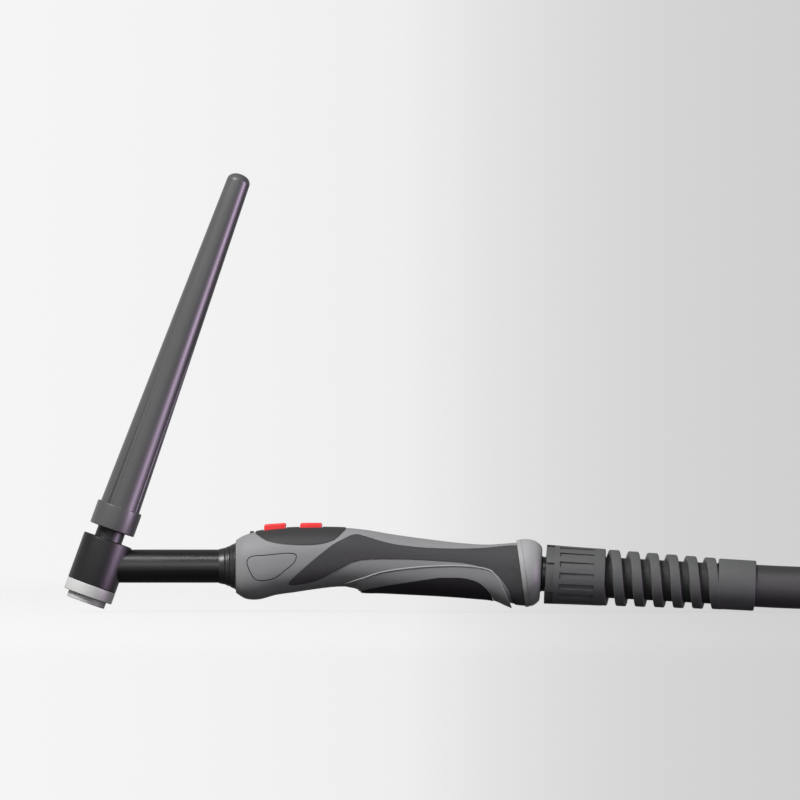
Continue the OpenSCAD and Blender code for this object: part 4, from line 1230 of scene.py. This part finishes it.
@dataclass
class Tail:
    """Ball joint's rear ring and the rubber moulding behind it, in millimetres along the tail's axis."""

    places: Places
    ring_line: tuple[Point2, ...] = ((-6, 14.0), (-3, 14.95), (0.5, 15.3), (3, 14.9), (5, 14.05), (6.5, 12.8))
    ring_rear: float = 7.2
    ring_lip_r: float = 11.3
    dish_r: float = 14.87
    sleeve_a: float = 9.2
    sleeve_r: float = 13.3
    sleeve_end: float = 35.8
    groove_r: float = 9.15
    pitch: float = 8.64
    turns: float = 5.9
    rib_w: float = 4.3
    end_r: float = 11.3
    end_len: float = 16.9
    core_r: float = 5.6
    neck_r: float = 8.0
    flange_r: float = 9.1
    hose_r: float = 9.6
    jacket_in: float = 13.7
    rib_phase: float = 202.0
    recesses: int = 16
    recess_in: Point2 = (6.1, 4.9)
    recess_half: float = 1.25
    recess_depth: float = 0.95
    notches: int = 6
    notch_half: float = 5.4
    notch_long: float = 3.6
    notch_depth: float = 0.9
    crease_at: float = 2.0
    crease_w: float = 0.3

    def build(self) -> None:
        """Makes the ring and the moulding."""
        place = self.places.at_tail()
        settle(self.ring(), place, "torch", "ring_grey", "rear_ring")
        settle(self.relief(), place, "cable", "relief_grey", "strain_relief")

    @property
    def spiral_end(self) -> float:
        """Rear end of the spiral."""
        return self.sleeve_end + self.turns * self.pitch

    def ring(self) -> Piece:
        """Barrel-shaped ring whose front face leans against the handle."""
        front, rear = self.ring_line[0][0], self.ring_line[-1][0]
        stops = [front + (rear - front) * k / 40 for k in range(41)]
        outside = [(curve(self.ring_line, a), a) for a in stops]
        low, high = math.asin(front / SOCKET_R), math.asin(self.ring_rear / SOCKET_R)
        turns = [high + (low - high) * k / 24 for k in range(25)]
        inside = [(SOCKET_R * math.cos(turn), SOCKET_R * math.sin(turn)) for turn in turns]
        lip = [(self.ring_lip_r + 0.7, self.ring_rear - 0.15), (self.ring_lip_r, self.ring_rear)]
        piece = finished(lathe([*outside, *lip, *inside], 144), "rear_ring_skin")
        lean = (axis_place(Vector((0, 0, 0)), self.places.tail).inverted()
                @ Matrix.Rotation(math.radians(-FACE_LEAN), 4, "Y"))
        carve(piece, moved(self.slab(-FAR, 0.05), lean))
        crease = finished(moved(self.slab(self.crease_at, self.crease_at + self.crease_w), lean), "crease")
        core = [(outside[0][0], -8), *outside, (outside[-1][0], 8)]
        core = lathe([(0, -8), *((r - self.crease_w, a) for r, a in core), (0, 8)], 144)
        return carve(piece, carve(crease, core))

    def slab(self, low: float, high: float) -> Mesh:
        """Everything between two distances behind the ring's front face, before it leans."""
        return block(Vector((low - FACE_FRONT, -FAR, -FAR)), Vector((high - FACE_FRONT, FAR, FAR)))

    def rib_top(self, a: float) -> float:
        """Radius of the spiral rib's crown."""
        start, end = self.sleeve_r - 0.6, self.end_r + 0.2
        share = (max(a, self.sleeve_end) - self.sleeve_end) / (self.spiral_end - self.sleeve_end)
        return start - (start - end) * share

    def rib(self) -> Mesh:
        """Right-handed spiral rib with a rounded crown, its foot sunk into the groove's floor."""
        turns, w, foot = self.turns + 0.6, self.rib_w / 2, self.groove_r - 0.8

        def outline(high: float) -> list[Point2]:
            return rounded([(foot, -w - 0.5), (foot, w + 0.5), (high, w), (high, -w)], 0.55, 4)

        corners = len(outline(self.end_r))

        def point(along: float, turn: float) -> Vector:
            angle = 2 * math.pi * turns * along + math.radians(self.rib_phase)
            a = self.sleeve_end - self.pitch / 2 + turns * along * self.pitch
            r, off = outline(self.rib_top(a))[round(turn * corners) % corners]
            return Vector((r * math.cos(angle), r * math.sin(angle), a + off))

        return wrapped(math.ceil(turns * 72), corners, point)

    def pocket(self, low: float, high: float, half: float, depth: float) -> Mesh:
        """Tool that cuts a pocket with rounded corners into the sleeve's side, seen from +X."""
        line = rounded([(-high, -half), (-low, -half), (-low, half), (-high, half)], 0.35, 3)
        return moved(prism(line, self.sleeve_r - depth, self.sleeve_r + 4), ALONG_X)

    def relief(self) -> Piece:
        """Grip sleeve, spiral bend relief and end sleeve, bored for the ball's neck and the hose."""
        front, rear = self.sleeve_a, self.spiral_end + self.end_len
        corners = [(self.dish_r * 0.84, front), (self.sleeve_r, front), (self.sleeve_r - 0.5, self.sleeve_end),
                   (self.groove_r, self.sleeve_end), (self.groove_r, self.spiral_end),
                   (self.end_r + 0.1, self.spiral_end), (self.end_r, rear), (self.hose_r, rear)]
        outside = rounded(corners, 0.8, 5, False)
        dish = [(self.dish_r * math.sin(t), self.dish_r * math.cos(t))
                for t in (math.radians(33.5 + 18 * k / 12) for k in range(13))]
        back = rear - self.jacket_in
        inside = [(self.hose_r, back), (self.core_r, back), (self.core_r, 22.3), (self.flange_r, 22.3),
                  (self.flange_r, 19.7), (self.neck_r, 19.7), *(p for p in dish if p[0] < self.dish_r * 0.84)]
        piece = finished(lathe([*outside, *inside], 128), "strain_relief_skin", sharp=40)
        carve(piece, self.rib(), Cut.JOIN)
        low, high = front + self.recess_in[0], self.sleeve_end - self.recess_in[1]
        carve(piece, spread(self.pocket(low, high, self.recess_half, self.recess_depth), self.recesses))
        notch = self.pocket(front - 3, front + self.notch_long, self.notch_half, 2.5)
        notches = finished(spread(notch, self.notches, first=0.5), "notches")
        return carve(piece, carve(notches, pin(self.sleeve_r - self.notch_depth, -FAR, FAR, 128)))


# ---- hose lead


RUN_POINTS = ((-13.5, 0, 12.05), (0, 0, 11.3), (12, 0, 10.7), (24, 0, 10.3), (36, 0, 10.1), (48, 0, 10),
              (60, 0, 10), (72, 0, 10), (84, 0, 10.1), (96, 0, 10.2), (108, 0, 10.4), (120, 0, 10.6),
              (132, 0, 10.8), (144, 0, 10.9), (158, 0, 10.9), (172, 0, 10.9))
END_POINTS = ((0, 130, 50.1), (-14, 128.8, 50.3), (-28, 124.9, 51), (-41, 118.7, 52.2), (-52.5, 110.4, 53.6),
              (-62.5, 99.9, 55.2), (-70.5, 87.7, 56.8), (-76.3, 74, 58.2), (-79.3, 60, 59.4), (-80, 46, 60.1),
              (-80, 38, 60.4), (-80, 30, 60.4), (-80, 22, 60.4))


@dataclass
class Lead:
    """Hose with its coil and straps, in millimetres from the floor under the end sleeve's rear face."""

    exit: Vector = field(default_factory=lambda: Vector((0.155146, 0, 0.011282)))
    hose_r: float = 9.5
    length: float = 3.89
    coil_x: float = 172.0
    coil_r: float = 130.0
    coil_step: float = 20.0
    coil_turns: float = 5.5
    coil_low: float = 10.9
    coil_layer: float = 19.6
    strap_t: float = 1.2
    strap_w: float = 20.0
    strap_at: tuple[float, ...] = (112, 195, 300)

    def build(self, with_pieces: Sequence[Piece]) -> None:
        """Args:
            with_pieces: The plug's pieces, which go with the hose; not used.
        """
        place = Matrix.Translation((self.exit.x, 0, 0)) @ Matrix.Scale(MM, 4)
        path = self.path()
        hose = settle(self.hose(path), place, "cable", "hose_black", "hose_run", "hose_coil", "hose_end")
        straps = settle(self.straps(), place, "cable", "tie_black", "coil_ties")
        tuple(self.exit)
        2 * self.hose_r * MM
        [tuple(place @ p) for p in path]

    def coil_radius(self, t: float) -> float:
        """Radius of the coil after t turns: it spirals in and out again."""
        half = self.coil_turns / 2
        return self.coil_r - self.coil_step * (half - math.sqrt((t - half) ** 2 + 0.01))

    def coil_point(self, t: float) -> Vector:
        """Centre line of the coil after t turns."""
        half = self.coil_turns / 2
        climb = min(max((t - half + 0.25) / 0.5, 0), 1) + eased((t - self.coil_turns + 0.3) / 0.3)
        angle, r = math.tau * t - math.pi / 2, self.coil_radius(t)
        return Vector((self.coil_x + r * math.cos(angle), self.coil_r + r * math.sin(angle),
                       self.coil_low + self.coil_layer * climb))

    def smooth(self, points: Sequence[Vector], steps: int = 3) -> list[Vector]:
        """Smooth open curve through points, without its last point."""
        ends = [2 * points[0] - points[1], *points, 2 * points[-1] - points[-2]]
        return [blend(*ends[i:i + 4], k / steps) for i in range(len(points) - 1) for k in range(steps)]

    def path(self) -> list[Vector]:
        """The hose's centre line from inside its sleeve to the plug."""
        rings = 48
        run = self.smooth([Vector(p) for p in RUN_POINTS])
        coil = [self.coil_point(k / rings) for k in range(round(self.coil_turns * rings))]
        middle = Vector((self.coil_x, self.coil_r, 0))
        end = [middle + Vector(p) for p in END_POINTS]
        return [*run, *coil, *self.smooth(end), end[-1]]

    def hose(self, path: Sequence[Vector]) -> Piece:
        """Round jacket along the path, with a UV map that runs along it."""
        last = len(path) - 1

        def point(along: float, turn: float) -> Vector:
            i = round(along * last)
            run = (path[min(i + 1, last)] - path[max(i - 1, 0)]).normalized()
            side = Vector((0, 0, 1)).cross(run).normalized()
            up = run.cross(side)
            return path[i] + self.hose_r * (side * math.cos(math.tau * turn) + up * math.sin(math.tau * turn))

        return finished(wrapped(last, 32, point, "hose"), "hose")

    def straps(self) -> Piece:
        """Three webbing straps round the coil's turns, each with its slide buckle."""
        high = self.coil_low + self.coil_layer + self.hose_r + 0.2
        middle = Matrix.Translation((self.coil_x, self.coil_r, 0))
        parts = []
        for degrees in self.strap_at:
            first = ((degrees + 90) % 360) / 360
            turns = [self.coil_radius(first + k) for k in range(6) if first + k <= self.coil_turns]
            low, far = min(turns) - self.hose_r - 0.8, max(turns) + self.hose_r + 0.8
            t = self.strap_t
            outer = rounded([(low - t, 0), (far + t, 0), (far + t, high + t), (low - t, high + t)], 9.5, 8)
            inner = rounded([(low, t), (far, t), (far, high), (low, high)], 8.5, 8)
            band = self.band(outer, inner)
            buckle = block(Vector((far + t - 0.6, high * 0.35, -self.strap_w / 2 - 1)),
                           Vector((far + t + 1.4, high * 0.35 + 7, self.strap_w / 2 + 1)), 0.6)
            turn = Matrix.Rotation(math.radians(degrees), 4, "Z")
            parts.append(moved(joined(band, buckle), middle @ turn @ UPRIGHT))
        return finished(joined(*parts), "coil_straps")

    def band(self, outer: Sequence[Point2], inner: Sequence[Point2]) -> Mesh:
        """A closed band between two outlines of as many corners, as wide as the strap."""
        bm = bmesh.new()
        rings = [[bm.verts.new((x, y, -self.strap_w / 2)) for x, y in line] for line in (outer, inner)]
        edges = [bm.edges.new((ring[k - 1], ring[k])) for ring in rings for k in range(len(ring))]
        return raised(bm, bmesh.ops.bridge_loops(bm, edges=edges)["faces"], self.strap_w)


# ---- plug


@dataclass
class Plug:
    """Plug on the hose's far end, in millimetres along its own axis from the hose's last stretch."""

    at: Vector = field(default_factory=lambda: Vector((0.247146, 0.152, 0.0604)))
    hose_r: float = 9.55
    core_r: float = 5.3
    boot_long: float = 36.0
    housing_a: float = 26.0
    housing_r: float = 17.0
    neck_long: float = 22.8
    neck_r: float = 15.0
    face_a: float = 88.0
    shank_r: float = 5.75
    pin_at: float = 10.1
    pin_r: float = 1.25
    flute_r: float = 1.4
    nut_a: float = 65.5
    nut_len: float = 26.0
    nut_r: float = 20.0
    nut_bore: float = 15.3

    def build(self) -> list[Piece]:
        """Makes the plug's pieces.

        Returns:
            The pieces that go with the hose.
        """
        place = Matrix.Translation(self.at) @ UPRIGHT @ Matrix.Scale(MM, 4)
        return [settle(self.boot(), place, "cable", "plug_boot_black", "plug_boot"),
                settle(self.housing(), place, "cable", "plug_black", "plug_housing"),
                settle(self.nut(), place, "plug_nut", "nut_grey", "plug_nut")]

    def boot(self) -> Piece:
        """Ribbed boot round the hose."""
        ribs = []
        for k in range(int(self.boot_long / 3)):
            r = self.hose_r + 1.35 + 7.2 * k / self.boot_long + 0.7 * (k % 2)
            ribs += [(r, k * 3.0), (r, k * 3 + 2.2)]
        top = self.boot_long - 0.8
        corners = [(self.hose_r, 0), *ribs, (self.core_r, top), (self.core_r, 8), (self.hose_r, 8)]
        line = rounded(corners, 0.35, 3)
        return finished(lathe(line, 96), "plug_boot_skin")

    def housing(self) -> Piece:
        """Fluted housing with the neck that the nut turns on, bored for the spigot and the contacts."""
        a, end = self.housing_a, self.face_a
        seat = end - self.neck_long
        room = self.hose_r + 4.95
        floor = self.boot_long + 0.2
        corners = [(room, a), (self.housing_r - 2, a), (self.housing_r, a + 3), (self.housing_r, seat - 1),
                   (self.housing_r - 1, seat), (self.neck_r, seat), (self.neck_r, end), (self.shank_r, end),
                   (self.shank_r, end - 20), (0, end - 20), (0, floor), (room, floor)]
        line = rounded(corners, 0.6, 4)
        piece = finished(lathe(line, 144), "plug_housing_skin")
        carve(piece, spread(capsule(self.flute_r, a + 7, seat - 6), 12, self.housing_r + 0.4))
        return carve(piece, spread(pin(self.pin_r, end - 10, end + 5, 24), 3, self.pin_at))

    def nut(self) -> Piece:
        """Collar nut with grip flutes."""
        a, end = self.nut_a, self.nut_a + self.nut_len
        line = rounded([(self.nut_bore, a), (self.nut_r, a), (self.nut_r, end), (self.nut_bore, end)], 0.8, 5)
        piece = finished(lathe(line, 144), "plug_nut_skin")
        return carve(piece, spread(capsule(self.flute_r, a + 2.5, end - 2.5), 18, self.nut_r + 0.5))


# ---- studio


@dataclass(frozen=True)
class Lamp:
    """A soft rectangular lamp.

    Attributes:
        name: Name of the lamp.
        at: Where it stands, in metres.
        size: Its two sides, in metres.
        watts: Its power.
        colour: Its colour.
        gloss_only: Whether it shows in gloss alone.
    """

    name: str
    at: Point3
    size: Point2
    watts: float
    colour: Colour = (1.0, 1.0, 1.0)
    gloss_only: bool = False

    def place(self, target: Vector) -> None:
        """Adds the lamp, facing the target."""
        light = bpy.data.lights.new(self.name, "AREA")
        light.shape, light.energy, light.color = "RECTANGLE", self.watts, self.colour
        light.size, light.size_y = self.size
        lamp = bpy.data.objects.new(self.name, light)
        lamp.location = self.at
        lamp.visible_diffuse = not self.gloss_only
        lamp.rotation_euler = (target - Vector(self.at)).to_track_quat("-Z", "Y").to_euler()
        bpy.context.scene.collection.objects.link(lamp)


def grey(level: float) -> Colour:
    """Linear grey of a display level from 0 to 255."""
    return (((level / 255 + 0.055) / 1.055) ** 2.4,) * 3


@dataclass
class Studio:
    """Camera, lamps, backdrop and floor.

    Attributes:
        view_at: Where the camera stands.
        lens: Its focal length in millimetres.
        sensor: Width of its sensor in millimetres.
        target: What the lamps face.
        lamps: The lamps.
        backdrop: The backdrop's display levels across the view, by share of its width.
        dome: The dome's light from below to above, by share of its height.
        floor_r: Radius of the floor.
    """

    view_at: Point3 = (-0.0046, -6.0, 0.0949)
    lens: float = 600.0
    sensor: float = 36.0
    target: Vector = field(default_factory=lambda: Vector((0.0, 0.0, 0.06)))
    lamps: tuple[Lamp, ...] = (
        Lamp("key", (-0.8, -0.9, 1.3), (0.6, 0.5), 44.0),
        Lamp("front", (-0.1, -1.6, 0.5), (1.0, 0.8), 5.0),
        Lamp("rim", (1.03, -0.5, 0.0), (0.3, 0.8), 46.0, (0.92, 0.68, 1.0), True),
        Lamp("strip", (-0.1, -0.65, 1.15), (0.9, 0.12), 5.0, (1.0, 1.0, 1.0), True),
    )
    backdrop: tuple[Point2, ...] = ((0.0, 246), (0.5, 239), (0.6, 228), (0.7, 220), (0.8, 214), (1.0, 207))
    dome: tuple[Point2, ...] = ((0.0, 0.02), (0.5, 0.12), (1.0, 0.45))
    floor_r: float = 1.2

    def build_camera(self) -> None:
        """Adds the camera, looking along +Y."""
        data = bpy.data.cameras.new("camera")
        data.lens, data.sensor_width, data.clip_end = self.lens, self.sensor, 100
        camera = bpy.data.objects.new("camera", data)
        camera.location, camera.rotation_euler = self.view_at, (math.pi / 2, 0, 0)
        bpy.context.scene.collection.objects.link(camera)
        bpy.context.scene.camera = camera
        bpy.context.scene.view_settings.view_transform = "Standard"

    def build(self) -> None:
        """Adds the lamps, the world and the floor."""
        for lamp in self.lamps:
            lamp.place(self.target)
        self.world()
        self.floor()

    def world(self) -> None:
        """Backdrop for the camera and for gloss, and a soft dome for the rest."""
        world = bpy.data.worlds.new("studio")
        bpy.context.scene.world = world
        s = Shader.on_world(world)
        x, _, z = s.parts(s.node("ShaderNodeTexCoord", output="Generated"))
        stops = [(place, grey(level)) for place, level in self.backdrop]
        field_of_view = self.sensor / self.lens
        seen = s.node("ShaderNodeValToRGB", {"stops": stops}, {0: x * (1 / field_of_view) + 0.5})
        stops = [(place, (level,) * 3) for place, level in self.dome]
        dome = s.node("ShaderNodeValToRGB", {"stops": stops}, {0: z * 0.5 + 0.5})
        level = 1 - (z * z).between(0.04, 0.2)
        flags = [s.node("ShaderNodeLightPath", output=name)
                 for name in ("Is Camera Ray", "Is Glossy Ray", "Is Transmission Ray")]
        plain = flags[0].most(flags[1]).most(flags[2]) * level
        light = s.node("ShaderNodeBackground", None, {"Color": s.mix(plain, dome, seen), "Strength": 1.0})
        s.node("ShaderNodeOutputWorld", None, {"Surface": light})

    def floor(self) -> None:
        """Pale disc that keeps a faint shadow and fades out at its rim."""
        bm = bmesh.new()
        bmesh.ops.create_circle(bm, cap_ends=True, segments=96, radius=self.floor_r)
        disc = finished(bm, "floor", Matrix.Translation((0, 0, -0.0005)))
        s = Shader("floor")
        x, y, _ = s.parts(s.place())
        inside = 1 - ((x * x + y * y) ** 0.5).between(self.floor_r * 0.5, self.floor_r * 0.98)
        path = [s.node("ShaderNodeLightPath", output=name) for name in ("Is Camera Ray", "Is Glossy Ray")]
        direct = path[0].most(path[1])
        solid = direct * inside * 0.07 + (1 - direct) * 0.05
        pale = s.mix(x.between(-0.05, 0.3), (0.6, 0.6, 0.6), (0.42, 0.42, 0.42))
        matt = s.node("ShaderNodeBsdfDiffuse", None, {"Color": pale})
        clear = s.node("ShaderNodeBsdfTransparent")
        mixed = s.node("ShaderNodeMixShader", None, {0: solid, 1: clear, 2: matt})
        s.node("ShaderNodeOutputMaterial", None, {"Surface": mixed})
        disc.data.materials.append(s.material)


# ---- assembly


def dress_nodes(frame: dict) -> None:
    """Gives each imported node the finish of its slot.

    Args:
        frame: The loaded frame.
    """
    for part in frame["record"]["subparts"]:
        node = frame["nodes"][part["node"]]
        node.data.materials.clear()
        node.data.materials.append(PALETTE.material(part["material_slot"]))
        LOG.info("%s: packed solid in %s", part["node"], part["material_slot"])


def main() -> None:
    """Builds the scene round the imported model."""
    logging.basicConfig(level=logging.INFO, format="%(name)s %(message)s")
    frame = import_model()
    studio = Studio()
    studio.build_camera()
    dress_nodes(frame)
    plug = Plug().build()
    inner = [frame["nodes"][name] for name in ("plug_insert", "plug_pins", "plug_o_ring")]
    Lead().build([*plug, *inner])
    places = Places.read(frame["joints"], BALL_FROM_NECK)
    Head(places).build()
    Neck(places).build()
    Handle(places).build()
    Tail(places).build()
    studio.build()


if __name__ == "__main__":
    main()
